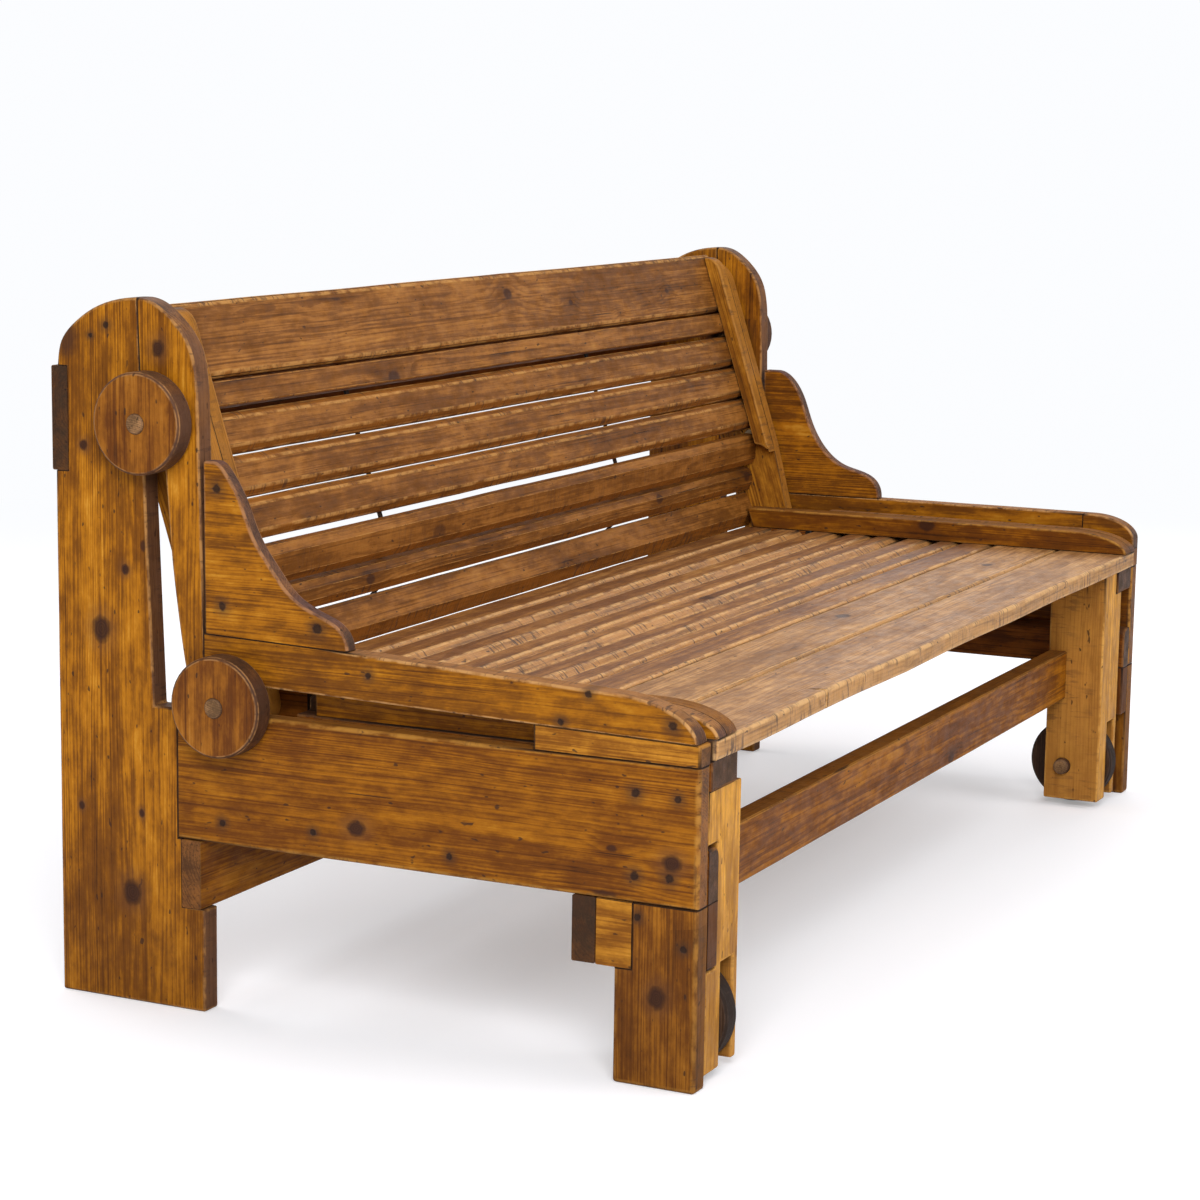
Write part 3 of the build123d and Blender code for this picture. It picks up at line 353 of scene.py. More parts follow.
class TimberShop:
    """Makes the wood: its node groups, once, and a material for each board."""

    def __init__(self) -> None:
        """Builds the shared groups."""
        self.pine = self.pine_group()
        self.marks = {
            Mark.KNOT: self.knot_group(),
            Mark.NAIL: self.nail_group(),
            Mark.STAIN: self.stain_group(),
        }

    def pine_group(self) -> bpy.types.NodeTree:
        """Makes the grain, knots, stains and wear of an old pine board, and the dirt and painted shade in its
        joints.
        """
        group, w, given, made = new_group(
            "old_pine",
            {
                "Point": (VECTOR, None),
                "Pith": (VECTOR, (0.0, 0.02, -0.05)),
                "Wear": (FLOAT, 0.0),
                "Seam": (FLOAT, 0.0),
                "Edge Face": (FLOAT, 0.0),
                "End Face": (FLOAT, 0.0),
                "Light": (COLOUR, (0.4, 0.2, 0.06)),
                "Dark": (COLOUR, (0.2, 0.08, 0.02)),
                "Pale": (COLOUR, (0.5, 0.25, 0.06)),
                "Stain": (COLOUR, (0.1, 0.05, 0.02)),
                "Rubbed": (COLOUR, (0.5, 0.3, 0.16)),
                "Edge": (COLOUR, (0.2, 0.1, 0.05)),
                "End": (COLOUR, (0.08, 0.04, 0.02)),
                "Rings": (FLOAT, 230.0),
                "Shine": (FLOAT, 0.42),
                "Scuffs": (FLOAT, 0.5),
                "Blotches": (FLOAT, 0.5),
                "Knot Free": (FLOAT, 0.8),
            },
            {"Color": COLOUR, "Roughness": FLOAT, "Height": FLOAT},
        )
        point = given["Point"]
        knot, halo = self.knots(w, point, given["Knot Free"])
        late = self.late_wood(w, point, given, halo)
        fibre = w.figure(point, FIBRE)
        depth = self.darkness(w, point, given, late, halo, fibre)
        wood = w.mix(w.spread(depth, -0.05, 0.26), given["Pale"], given["Light"])
        wood = w.mix(w.spread(depth, 0.18, 0.56), wood, given["Dark"])
        wood = w.mix(w.spread(depth, 0.5, 1.0), wood, given["Stain"])
        wood = w.mix(w.math("MULTIPLY", knot, 0.85), wood, KNOT_HEART)

        rub, dash = w.figure(point, RUB), w.figure(point, DASH)
        patch = w.noise(point, 9.0, 3.0, 0.6)
        side = w.math("MULTIPLY", given["Edge Face"], w.spread(patch, 0.2, 0.6, 0.7, 1.0))
        narrow = w.mix(w.spread(depth, 0.2, 0.9, 0.0, 0.7), given["Edge"], given["Stain"])
        wood = w.mix(side, wood, narrow)
        tips = w.math("MULTIPLY", given["End Face"], w.spread(rub, 0.25, 0.7, 0.75, 1.0))
        ends = w.mix(w.spread(depth, 0.1, 0.7, 0.0, 0.75), given["End"], END_DIRT)
        wood = w.mix(tips, wood, ends)
        worn = w.math("MULTIPLY", given["Wear"], w.spread(rub, 0.36, 0.6))
        wood = w.mix(w.math("MULTIPLY", worn, 0.7), wood, given["Rubbed"])

        near = w.math("MAXIMUM", given["Wear"], given["Edge Face"])
        scuff = w.math("MULTIPLY", w.spread(dash, 0.53, 0.64), w.spread(patch, 0.4, 0.58))
        scuff = w.math("MULTIPLY", w.math("MULTIPLY", scuff, near), given["Scuffs"])
        speck = w.spread(w.figure(point, SPECK), 0.71, 0.77, 0.0, 0.8)
        crack = w.spread(w.figure(point, CRACK), 0.765, 0.795)
        # Dirt and painted shade in the joints: rubbed edges that lie against another piece are darkened.
        seam_dirt_and_shade = w.math("MULTIPLY", given["Seam"], w.spread(rub, 0.2, 0.55, 0.65, 0.95))
        for share, dirt in (
            (w.math("MULTIPLY", scuff, 0.85), SCUFF_DIRT),
            (speck, SPECK_DIRT),
            (w.math("MULTIPLY", crack, 0.8), CRACK_DIRT),
            (seam_dirt_and_shade, SEAM_DIRT_AND_SHADE),
        ):
            wood = w.mix(share, wood, dirt)

        dull = w.math("ADD", given["Shine"], w.spread(rub, 0.3, 0.8, -0.06, 0.16))
        dull = w.math("ADD", dull, w.math("MULTIPLY", near, 0.12), clamp=True)
        height = w.math("MULTIPLY", late, 0.3)
        height = w.math("SUBTRACT", height, w.math("MULTIPLY", fibre, 0.6))
        height = w.math("SUBTRACT", height, w.math("MULTIPLY", w.math("MAXIMUM", scuff, crack), 1.2))
        height = w.math("ADD", height, w.math("MULTIPLY", rub, 0.9))
        height = w.math("ADD", height, w.math("MULTIPLY", w.math("MULTIPLY", dash, near), 2.4))
        for label, value in (("Color", wood), ("Roughness", dull), ("Height", height)):
            w.feed(made.inputs[label], value)
        return group

    def knots(self, w: Wiring, point: Socket, knot_free: Socket) -> tuple[Socket, Socket]:
        """Scatters knots of many sizes over a board.

        Args:
            w: The group's wiring.
            point: The place in the board.
            knot_free: Share of the board's parts that have no knot.

        Returns:
            Where there is a knot, and where the grain darkens and bends round one.
        """
        cells_at = w.vector("MULTIPLY", point, (0.62, 1.0, 0.0))
        cells = w.add("ShaderNodeTexVoronoi", {"Vector": cells_at, "Scale": 8.5}, voronoi_dimensions="2D")
        chance = w.add("ShaderNodeSeparateColor", {0: cells.outputs["Color"]}).outputs
        wobble = w.math("MULTIPLY", w.noise(point, 70.0), 0.05)
        size = w.spread(chance[1], 0.0, 1.0, 0.03, 0.115)
        reach = w.math("DIVIDE", w.math("ADD", cells.outputs["Distance"], wobble), size)
        present = w.math("GREATER_THAN", chance[0], knot_free)
        knot = w.math("MULTIPLY", w.spread(reach, 1.3, 0.85), present)
        halo = w.math("MULTIPLY", w.spread(reach, 5.0, 0.9), present)
        return knot, halo

    def late_wood(self, w: Wiring, point: Socket, given: Sockets, halo: Socket) -> Socket:
        """Cuts the board out of a tree with wandering growth rings.

        Args:
            w: The group's wiring.
            point: The place in the board.
            given: The group's inputs.
            halo: Where a knot bends the rings.

        Returns:
            How far each point lies in a ring's dark late wood.
        """
        flat = w.vector("MULTIPLY", w.vector("SUBTRACT", point, given["Pith"]), (0.0, 1.0, 1.0))
        bent = w.vector("ADD", flat, w.drift(point, SWAY, 0.03))
        bent = w.vector("ADD", bent, w.drift(point, RIPPLE, 0.003))
        radius = w.math("ADD", w.vector("LENGTH", bent), w.math("MULTIPLY", halo, 0.0035))
        uneven = w.noise(w.math("MULTIPLY", radius, 22.0), 1.0, 1.0)
        turns = w.math("MULTIPLY_ADD", uneven, 4.0, w.math("MULTIPLY", radius, given["Rings"]))
        year = w.math("FRACT", turns)
        late = w.math("MULTIPLY", w.spread(year, 0.3, 0.84), w.spread(year, 1.0, 0.92))
        season = w.noise(w.math("MULTIPLY", turns, 0.31), 1.0, 1.0)
        return w.math("MULTIPLY", late, w.spread(season, 0.25, 0.7, 0.4, 1.0))

    def darkness(
        self,
        w: Wiring,
        point: Socket,
        given: Sockets,
        late: Socket,
        halo: Socket,
        fibre: Socket,
    ) -> Socket:
        """Adds up what darkens the wood.

        Args:
            w: The group's wiring.
            point: The place in the board.
            given: The group's inputs.
            late: The late wood.
            halo: The grain round the knots.
            fibre: The fibres.

        Returns:
            How dark each point is, from about 0 to 1.
        """
        depth = w.math("MULTIPLY_ADD", late, 0.16, 0.355)
        causes = [(w.figure(point, CLOUD), w.math("MULTIPLY", given["Blotches"], CLOUD.share))]
        causes += [(w.figure(point, kind), kind.share) for kind in (SMEAR, STREAK, MOTTLE)]
        causes.append((fibre, FIBRE.share))
        for cause, amount in causes:
            depth = w.math("MULTIPLY_ADD", w.math("SUBTRACT", cause, 0.5), amount, depth)
        lines = w.spread(w.figure(point, LINE), 0.55, 0.66)
        depth = w.math("MULTIPLY_ADD", lines, LINE.share, depth)
        return w.math("MULTIPLY_ADD", halo, 0.16, depth)

    def mark_sockets(self) -> tuple[dict, dict]:
        """Gives the sockets that the three mark groups share."""
        inputs = {
            "Point": (VECTOR, None),
            "Centre": (VECTOR, (0.0, 0.0, 0.0)),
            "Size": (FLOAT, 0.008),
            "Color": (COLOUR, (0.4, 0.2, 0.1)),
            "Height": (FLOAT, 0.0),
        }
        return inputs, {"Color": COLOUR, "Height": FLOAT}

    def knot_group(self) -> bpy.types.NodeTree:
        """Makes one knot: a dark heart with rings, and the grain darkening round it."""
        group, w, given, made = new_group("knot_mark", *self.mark_sockets())
        gap = w.vector("MULTIPLY", w.vector("SUBTRACT", given["Point"], given["Centre"]), (0.8, 1.0, 0.0))
        ragged = w.math("MULTIPLY", w.noise(given["Point"], 110.0, 3.0), 0.55)
        reach = w.math("ADD", w.math("DIVIDE", w.vector("LENGTH", gap), given["Size"]), ragged)
        heart = w.spread(reach, 1.32, 1.0)
        rim = w.math("MULTIPLY", w.spread(reach, 1.0, 1.25), w.spread(reach, 1.6, 1.25))
        halo = w.spread(reach, 3.2, 1.1)
        ring = w.spread(w.math("SINE", w.math("MULTIPLY", reach, 26.0)), -0.4, 1.0, 0.0, 0.35)
        colour = w.mix(w.math("MULTIPLY", halo, 0.5), given["Color"], (0.13, 0.05, 0.018))
        core = w.mix(ring, (0.03, 0.011, 0.007), (0.07, 0.026, 0.012))
        colour = w.mix(w.math("MULTIPLY", heart, 0.92), colour, core)
        colour = w.mix(w.math("MULTIPLY", rim, 0.5), colour, (0.02, 0.008, 0.005))
        w.feed(made.inputs["Color"], colour)
        w.feed(made.inputs["Height"], w.math("SUBTRACT", given["Height"], w.math("MULTIPLY", rim, 1.0)))
        return group

    def nail_group(self) -> bpy.types.NodeTree:
        """Makes one sunk nail: a black hole with a rusty stain."""
        group, w, given, made = new_group("nail_mark", *self.mark_sockets())
        gap = w.vector("MULTIPLY", w.vector("SUBTRACT", given["Point"], given["Centre"]), (1.0, 1.0, 0.0))
        ragged = w.math("MULTIPLY", w.noise(given["Point"], 150.0, 4.0, 0.7), 1.3)
        reach = w.math("ADD", w.math("DIVIDE", w.vector("LENGTH", gap), given["Size"]), ragged)
        hole = w.spread(reach, 1.9, 1.35)
        colour = w.mix(w.spread(reach, 4.6, 1.4, 0.0, 0.62), given["Color"], (0.06, 0.026, 0.012))
        colour = w.mix(w.math("MULTIPLY", hole, 0.84), colour, (0.016, 0.009, 0.007))
        w.feed(made.inputs["Color"], colour)
        w.feed(made.inputs["Height"], w.math("SUBTRACT", given["Height"], w.math("MULTIPLY", hole, 5.0)))
        return group

    def stain_group(self) -> bpy.types.NodeTree:
        """Makes one soft dark patch."""
        group, w, given, made = new_group("stain_mark", *self.mark_sockets())
        gap = w.vector("MULTIPLY", w.vector("SUBTRACT", given["Point"], given["Centre"]), (0.6, 1.0, 0.0))
        ragged = w.math("MULTIPLY", w.noise(given["Point"], 30.0, 4.0, 0.65), 1.2)
        reach = w.math("ADD", w.math("DIVIDE", w.vector("LENGTH", gap), given["Size"]), ragged)
        colour = w.mix(w.spread(reach, 1.9, 0.9, 0.0, 0.85), given["Color"], (0.06, 0.022, 0.01))
        w.feed(made.inputs["Color"], colour)
        w.feed(made.inputs["Height"], given["Height"])
        return group

    def material(self, board: "Board") -> bpy.types.Material:
        """Makes the material of one board.

        Args:
            board: What the board is and how it lies.

        Returns:
            The material.
        """
        material = bpy.data.materials.new(f"{board.name}_wood")
        material.use_nodes = True
        material.node_tree.nodes.clear()
        w = Wiring(material.node_tree)
        turn = board.grain.turn()
        shift = Vector((board.seed * 1.37, 0.0, 0.0))
        place = w.add("ShaderNodeTexCoord").outputs
        mapping = w.add(
            "ShaderNodeMapping",
            {"Vector": place["Object"], "Location": shift, "Rotation": turn.to_euler()},
        )
        point = mapping.outputs["Vector"]
        through = w.vector("DOT_PRODUCT", place["Normal"], tuple(turn[2]))
        along = w.vector("DOT_PRODUCT", place["Normal"], tuple(turn[0]))
        broad = w.math("ABSOLUTE", through)
        ends = w.spread(w.math("ABSOLUTE", along), 0.55, 0.85)
        narrow = w.math("MULTIPLY", w.spread(broad, 0.97, 0.85), w.math("SUBTRACT", 1.0, ends))
        middle = turn @ board.centre
        finish = board.finish
        pine = w.add("ShaderNodeGroup", node_tree=self.pine)
        sockets = {
            "Point": point,
            "Pith": (0.0, middle.y + board.pith[0], middle.z + board.pith[1]),
            "Wear": w.add("ShaderNodeAttribute", attribute_name="wear").outputs["Fac"],
            "Seam": w.add("ShaderNodeAttribute", attribute_name="seam").outputs["Fac"],
            "Edge Face": narrow,
            "End Face": ends,
            "Light": finish.light,
            "Dark": finish.dark,
            "Pale": finish.pale,
            "Stain": finish.stain,
            "Rubbed": finish.rubbed,
            "Edge": finish.edge,
            "End": finish.end,
            "Rings": finish.rings,
            "Shine": finish.shine,
            "Scuffs": finish.scuffs,
            "Blotches": finish.blotches,
            "Knot Free": board.knot_free,
        }
        for label, value in sockets.items():
            w.feed(pine.inputs[label], value)
        colour, height = pine.outputs["Color"], pine.outputs["Height"]
        for kind, at, size in board.marks:
            mark = w.add("ShaderNodeGroup", node_tree=self.marks[kind])
            centre = turn @ Vector(at) + shift
            for label, value in (
                ("Point", point),
                ("Centre", tuple(centre)),
                ("Size", size),
                ("Color", colour),
                ("Height", height),
            ):
                w.feed(mark.inputs[label], value)
            colour, height = mark.outputs["Color"], mark.outputs["Height"]
        # Darker towards the bottom: within the lowest 0.3 m each piece fades towards its stain colour, by up
        # to 0.26.
        low = w.add("ShaderNodeSeparateXYZ", {0: place["Object"]}).outputs["Z"]
        colour = w.mix(w.spread(low, 0.3, 0.0, 0.0, 0.26), colour, finish.stain)
        bump = w.add("ShaderNodeBump", {"Strength": 0.6, "Distance": 0.0006, "Height": height})
        shader = w.add(
            "ShaderNodeBsdfPrincipled",
            {"Base Color": colour, "Roughness": pine.outputs["Roughness"], "Normal": bump.outputs["Normal"]},
        )
        shader.inputs["Specular IOR Level"].default_value = finish.gloss
        w.add("ShaderNodeOutputMaterial", {"Surface": shader.outputs["BSDF"]})
        return material


class Joinery:
    """Knows which pieces of one body lie against each other."""

    def __init__(self, frame: dict) -> None:
        """Makes a search tree of each node's surface.
        """
        self.trees = {}
        for name, node in frame["nodes"].items():
            corners = [vertex.co for vertex in node.data.vertices]
            faces = [tuple(polygon.vertices) for polygon in node.data.polygons]
            self.trees[name] = BVHTree.FromPolygons(corners, faces)
        self.partners = {}
        for members in frame["record"]["behaviour"]["bodies"].values():
            for name in members:
                self.partners[name] = [other for other in members if other != name]

    def neighbours(self, name: str) -> list[BVHTree]:
        """Gives the surfaces of the pieces that are near one piece of the same body."""
        low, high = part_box(name)
        found = []
        for other in self.partners[name]:
            least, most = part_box(other)
            apart = [max(least[axis] - high[axis], low[axis] - most[axis]) for axis in range(3)]
            if max(apart) < BOX_REACH:
                found.append(self.trees[other])
        return found


def touches(point: Vector, surfaces: list[BVHTree], reach: float) -> bool:
    """Tells whether a point is within reach of any of the surfaces."""
    return any(surface.find_nearest(point, reach)[0] is not None for surface in surfaces)


@dataclass
class Board:
    """One piece of timber of the bench.

    Args:
        name: Its node.
        grain: How it lies.
        finish: Its colouring.
        pith: How far the heart of the tree is across and behind the board's middle.
        bevel: Width of the rubbed edges.
        sway: How far hand work and wear move its surface; nothing for a bearing.
        pitch: Distance between the places where the edges may move.
        seed: Where along the tree it was cut.
        marks: Its knots, nails and stains.
        knot_free: Share of the board's parts that have no scattered knot.
        arris: The least angle, in degrees, of an edge that is rubbed round.
        sawn: The direction in which it is sawn straight through to its outline, if it is.
        centre: The middle of its box, found when it is aged.
    """

    name: str
    grain: Grain
    finish: Finish
    pith: tuple[float, float] = (0.015, -0.06)
    bevel: float = 0.004
    sway: float = 0.0006
    pitch: float = 0.07
    seed: float = 1.0
    marks: tuple[tuple[Mark, Point, float], ...] = ()
    knot_free: float = 0.78
    arris: float = 50.0
    sawn: Point | None = None
    centre: Vector = field(default_factory=Vector)

    def aged(self, joinery: Joinery) -> bpy.types.Object:
        """Copies the piece and gives it rubbed, uneven edges and masks of their wear and dirt.

        Args:
            joinery: What lies against what.

        Returns:
            The new piece.
        """
        low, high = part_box(self.name)
        self.centre = (Vector(low) + Vector(high)) / 2
        surfaces = joinery.neighbours(self.name)
        source = bpy.data.objects[self.name]
        piece = bpy.data.objects.new(f"{self.name}_aged", source.data.copy())
        bpy.context.scene.collection.objects.link(piece)
        bpy.ops.object.select_all(action="DESELECT")
        piece.select_set(True)
        bpy.context.view_layer.objects.active = piece
        bpy.ops.object.mode_set(mode="EDIT")
        bpy.ops.mesh.select_all(action="SELECT")
        bpy.ops.mesh.customdata_custom_splitnormals_clear()
        bpy.ops.mesh.remove_doubles(threshold=MERGE_REACH)
        if self.sawn:
            self.resaw(piece, Vector(self.sawn))
        else:
            bpy.ops.mesh.dissolve_limited(angle_limit=FACE_TURN)
        self.shape(piece)
        self.divide(low, high)
        bpy.ops.object.mode_set(mode="OBJECT")
        self.weigh_edges(piece, surfaces)
        bevel = piece.modifiers.new("rubbed_edges", "BEVEL")
        bevel.limit_method = "WEIGHT"
        bevel.width = self.bevel
        bevel.segments = RUBBED_STEPS
        bevel.profile = RUBBED_PROFILE
        bevel.use_clamp_overlap = False
        bevel.miter_outer = "MITER_SHARP"
        bevel.material = 1
        piece.data.materials.clear()
        for _ in range(2):
            piece.data.materials.append(None)
        bpy.ops.object.modifier_apply(modifier=bevel.name)
        self.mask_wear(piece, surfaces)
        if self.sway:
            self.move_edges(piece)
        for polygon in piece.data.polygons:
            polygon.material_index = 0
            polygon.use_smooth = True
        piece.data.materials.clear()
        normals = piece.modifiers.new("flat_faces", "WEIGHTED_NORMAL")
        normals.keep_sharp = False
        normals.weight = FACE_WEIGHT
        bpy.ops.object.modifier_apply(modifier=normals.name)
        return piece

    def shape(self, piece: bpy.types.Object) -> None:
        """Leaves the piece as it is sawn; turned pieces shape their ends here."""

    def resaw(self, piece: bpy.types.Object, through: Vector) -> None:
        """Saws the piece anew from its outline, so that its curved sides hold no loose points.

        Args:
            piece: The merged copy, in edit mode.
            through: The direction of the saw cut.
        """
        bpy.ops.mesh.select_mode(type="FACE")
        bpy.ops.object.mode_set(mode="OBJECT")
        mesh = piece.data
        near = [face.center.dot(through) for face in mesh.polygons if face.normal.dot(through) < -SQUARE_ON]
        far = [face.center.dot(through) for face in mesh.polygons if face.normal.dot(through) > SQUARE_ON]
        for part in (mesh.vertices, mesh.edges, mesh.polygons):
            part.foreach_set("select", [False] * len(part))
        for face in mesh.polygons:
            face.select = face.normal.dot(through) > -SQUARE_ON
        bpy.ops.object.mode_set(mode="EDIT")
        bpy.ops.mesh.delete(type="FACE")
        bpy.ops.mesh.select_all(action="SELECT")
        bpy.ops.mesh.dissolve_limited(angle_limit=OUTLINE_TURN)
        bpy.ops.mesh.select_all(action="SELECT")
        thickness = through * (min(far) - min(near))
        bpy.ops.mesh.extrude_region_move(TRANSFORM_OT_translate={"value": tuple(thickness)})
        bpy.ops.mesh.select_all(action="SELECT")
        bpy.ops.mesh.normals_make_consistent(inside=False)

    def divide(self, low: Point, high: Point) -> None:
        """Cuts the edges across the grain, so that they can run unevenly.

        Args:
            low: The lowest corner of the piece's box.
            high: The highest one.
        """
        along = self.grain.turn()[0]
        spans = tuple(zip(low, high))
        reach = [along.dot(Vector((x, y, z))) for x in spans[0] for y in spans[1] for z in spans[2]]
        for number in range(1, int((max(reach) - min(reach)) / self.pitch)):
            at = min(reach) + number * self.pitch
            bpy.ops.mesh.select_all(action="SELECT")
            bpy.ops.mesh.bisect(plane_co=along * at, plane_no=along)

    def weigh_edges(self, piece: bpy.types.Object, surfaces: list[BVHTree]) -> None:
        """Sets how wide each edge is rubbed: fully where it is free, hardly where boards meet.

        Args:
            piece: The piece before its edges are rubbed.
            surfaces: What lies against it.
        """
        mesh = piece.data
        faces = {}
        for polygon in mesh.polygons:
            for key in polygon.edge_keys:
                faces.setdefault(key, []).append(polygon.normal.copy())
        weights = []
        for edge in mesh.edges:
            sides = faces.get(edge.key, [])
            weight = 0.0
            if len(sides) == 2 and sides[0].angle(sides[1], 0.0) > radians(self.arris):
                first, last = (mesh.vertices[corner].co for corner in edge.vertices)
                weight = JOINT_WEIGHT if touches((first + last) / 2, surfaces, JOINT_REACH) else 1.0
            weights.append(weight)
        mesh.attributes.new("bevel_weight_edge", "FLOAT", "EDGE").data.foreach_set("value", weights)

    def mask_wear(self, piece: bpy.types.Object, surfaces: list[BVHTree]) -> None:
        """Writes which points are on a rubbed edge, and which of those are in a joint.

        Args:
            piece: The piece, its rubbed faces in the second material slot.
            surfaces: What lies against it.
        """
        mesh = piece.data
        wear = [1.0] * len(mesh.vertices)
        for polygon in mesh.polygons:
            if polygon.material_index == 0:
                for corner in polygon.vertices:
                    wear[corner] = 0.0
        seam = [0.0] * len(mesh.vertices)
        for number, vertex in enumerate(mesh.vertices):
            if wear[number] and touches(vertex.co, surfaces, SEAM_REACH):
                wear[number], seam[number] = 0.0, 1.0
        mesh.attributes.new("wear", "FLOAT", "POINT").data.foreach_set("value", wear)
        mesh.attributes.new("seam", "FLOAT", "POINT").data.foreach_set("value", seam)

    def move_edges(self, piece: bpy.types.Object) -> None:
        """Moves the surface a little, as hand planing and use leave it."""
        texture = bpy.data.textures.new(f"{self.name}_unevenness", "CLOUDS")
        texture.noise_scale = UNEVEN_SIZE
        texture.noise_depth = 2
        texture.cloud_type = "COLOR"
        uneven = piece.modifiers.new("uneven", "DISPLACE")
        uneven.texture = texture
        uneven.texture_coords = "LOCAL"
        uneven.direction = "RGB_TO_XYZ"
        uneven.strength = self.sway * 2
        bpy.ops.object.modifier_apply(modifier=uneven.name)


@dataclass
class Dowel(Board):
    """A turned pin or axle with whittled, domed ends.

    Args:
        dome: How far each step of the dome stands out, from the rim inwards.
        step: Width of each step.
    """

    sway: float = 0.0
    dome: tuple[float, ...] = (0.0008, 0.0005, 0.0002)
    step: float = 0.003

    def shape(self, piece: bpy.types.Object) -> None:
        """Domes the two end faces by insets that rise ever less."""
        bpy.ops.mesh.select_mode(type="FACE")
        bpy.ops.object.mode_set(mode="OBJECT")
        mesh = piece.data
        for part in (mesh.vertices, mesh.edges, mesh.polygons):
            part.foreach_set("select", [False] * len(part))
        for polygon in mesh.polygons:
            polygon.select = abs(polygon.normal.x) > SQUARE_ON and len(polygon.vertices) > FEW_CORNERS
        bpy.ops.object.mode_set(mode="EDIT")
        for rise in self.dome:
            bpy.ops.mesh.inset(thickness=self.step, depth=rise)


@dataclass
class Assembly:
    """A group of boards that ride on one body.

    Args:
        shop: Where the wood comes from.
        joinery: What lies against what.
        body: The body they ride on.
        stock: The name of a finish in the record; not used.
    """

    shop: TimberShop
    joinery: Joinery
    body: str
    stock: str

    def dress(self, board: Board) -> None:
        """Ages one board, gives it its wood and lets it stand for its node."""
        piece = board.aged(self.joinery)
        piece.data.materials.append(self.shop.material(board))
        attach(piece, self.body)
        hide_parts(board.name)
        log.info("%s: %d faces", piece.name, len(piece.data.polygons))


@dataclass
class SideFrames(Assembly):
    """The two arched ends and the rails that join them."""

    left_x: float = -0.898

    def left(self, *marks: tuple[Mark, float, float, float]) -> tuple:
        """Places marks, given by depth and height, on the left end's outer face."""
        return tuple((kind, (self.left_x, y, z), size) for kind, y, z, size in marks)

    def build(self) -> None:
        """Dresses the boards of the ends and the long rails."""
        knot, nail, stain = Mark.KNOT, Mark.NAIL, Mark.STAIN
        post = ((knot, 0.372, 0.470, 0.012), (knot, 0.330, 0.140, 0.012), (nail, 0.360, 0.845, 0.004))
        post += ((nail, 0.383, 0.832, 0.003), (knot, 0.395, 0.697, 0.005), (knot, 0.335, 0.547, 0.005))
        post += ((knot, 0.405, 0.243, 0.004), (knot, 0.315, 0.243, 0.004), (stain, 0.418, 0.828, 0.018))
        board = ((knot, 0.008, 0.260, 0.009), (nail, 0.197, 0.244, 0.004), (nail, 0.068, 0.248, 0.004))
        board += ((nail, -0.118, 0.241, 0.004), (nail, -0.357, 0.345, 0.005), (nail, -0.410, 0.343, 0.004))
        board += ((nail, -0.357, 0.248, 0.005), (knot, -0.404, 0.268, 0.009), (nail, -0.401, 0.250, 0.005))
        bracket = ((nail, 0.203, 0.655, 0.005), (nail, 0.195, 0.513, 0.005), (nail, 0.062, 0.497, 0.006))
        rail = ((nail, -0.008, 0.447, 0.004), (nail, -0.262, 0.417, 0.004), (nail, -0.296, 0.453, 0.004))
        rail += ((nail, -0.402, 0.427, 0.005),)
        leg = ((nail, -0.362, 0.200, 0.004), (nail, -0.420, 0.170, 0.004), (knot, -0.388, 0.108, 0.010))
        upright = ((knot, 0.285, 0.820, 0.008),)
        board, leg = self.left(*board), self.left(*leg)
        posts, boards, rails = Grain.POST, Grain.SIDE_BOARD, Grain.RAIL_ON_EDGE
        curved = (
            Board("left_rear_post", posts, ARCH, (0.02, -0.05), seed=2.2, marks=self.left(*post)),
            Board("right_rear_post", posts, ARCH, (-0.03, 0.05), seed=5.1),
            Board("left_front_upright", posts, ARCH, (0.01, -0.03), seed=3.3, marks=self.left(*upright)),
            Board("right_front_upright", posts, ARCH, (0.01, 0.03), seed=6.4),
            Board("left_arm_bracket", boards, WORN_EDGE, (0.03, -0.04), seed=1.7, marks=self.left(*bracket)),
            Board("right_arm_bracket", boards, WORN_EDGE, (0.03, 0.04), seed=4.7),
            Board("left_upper_rail", boards, RAIL, (-0.01, -0.05), seed=8.3, marks=self.left(*rail)),
            Board("right_upper_rail", boards, RAIL, (0.01, 0.05), seed=9.1),
            Board("right_rail_nose", boards, RAIL, (0.01, 0.05), seed=7.7),
        )
        for plan in curved:
            plan.sawn = SIDEWAYS
        straight = (
            Board("left_spacer_block", boards, LEG_HONEY, (0.02, -0.04), seed=2.9),
            Board("right_spacer_block", boards, AMBER, (0.02, 0.04), seed=3.9),
            Board("left_side_board", boards, AMBER, (-0.035, -0.045), 0.007, seed=4.1, marks=board),
            Board("right_side_board", boards, AMBER, (0.02, 0.05), 0.007, seed=6.6),
            Board("left_front_leg", posts, LEG_AMBER, (0.03, -0.03), 0.006, seed=5.8, marks=leg),
            Board("right_front_leg", posts, LEG_AMBER, (0.01, 0.04), 0.006, seed=8.8),
            Board("leg_notch_blocks", boards, LEG_HONEY, (0.03, -0.03), seed=9.4),
            Board("front_stretcher", rails, AMBER_DARK, (0.02, 0.04), 0.0005, seed=1.1, arris=24),
            Board("rear_stretcher", rails, AMBER, (0.02, 0.05), 0.0005, seed=2.6, arris=24),
            Board("rear_top_rail", rails, AMBER_DARK, (0.02, 0.05), 0.0012, seed=3.6, arris=24),
            Board("corner_blocks", posts, AMBER_DARK, seed=4.4),
            Board("inner_rails", boards, AMBER_DARK, seed=5.5),
        )
        for plan in curved + straight:
            self.dress(plan)


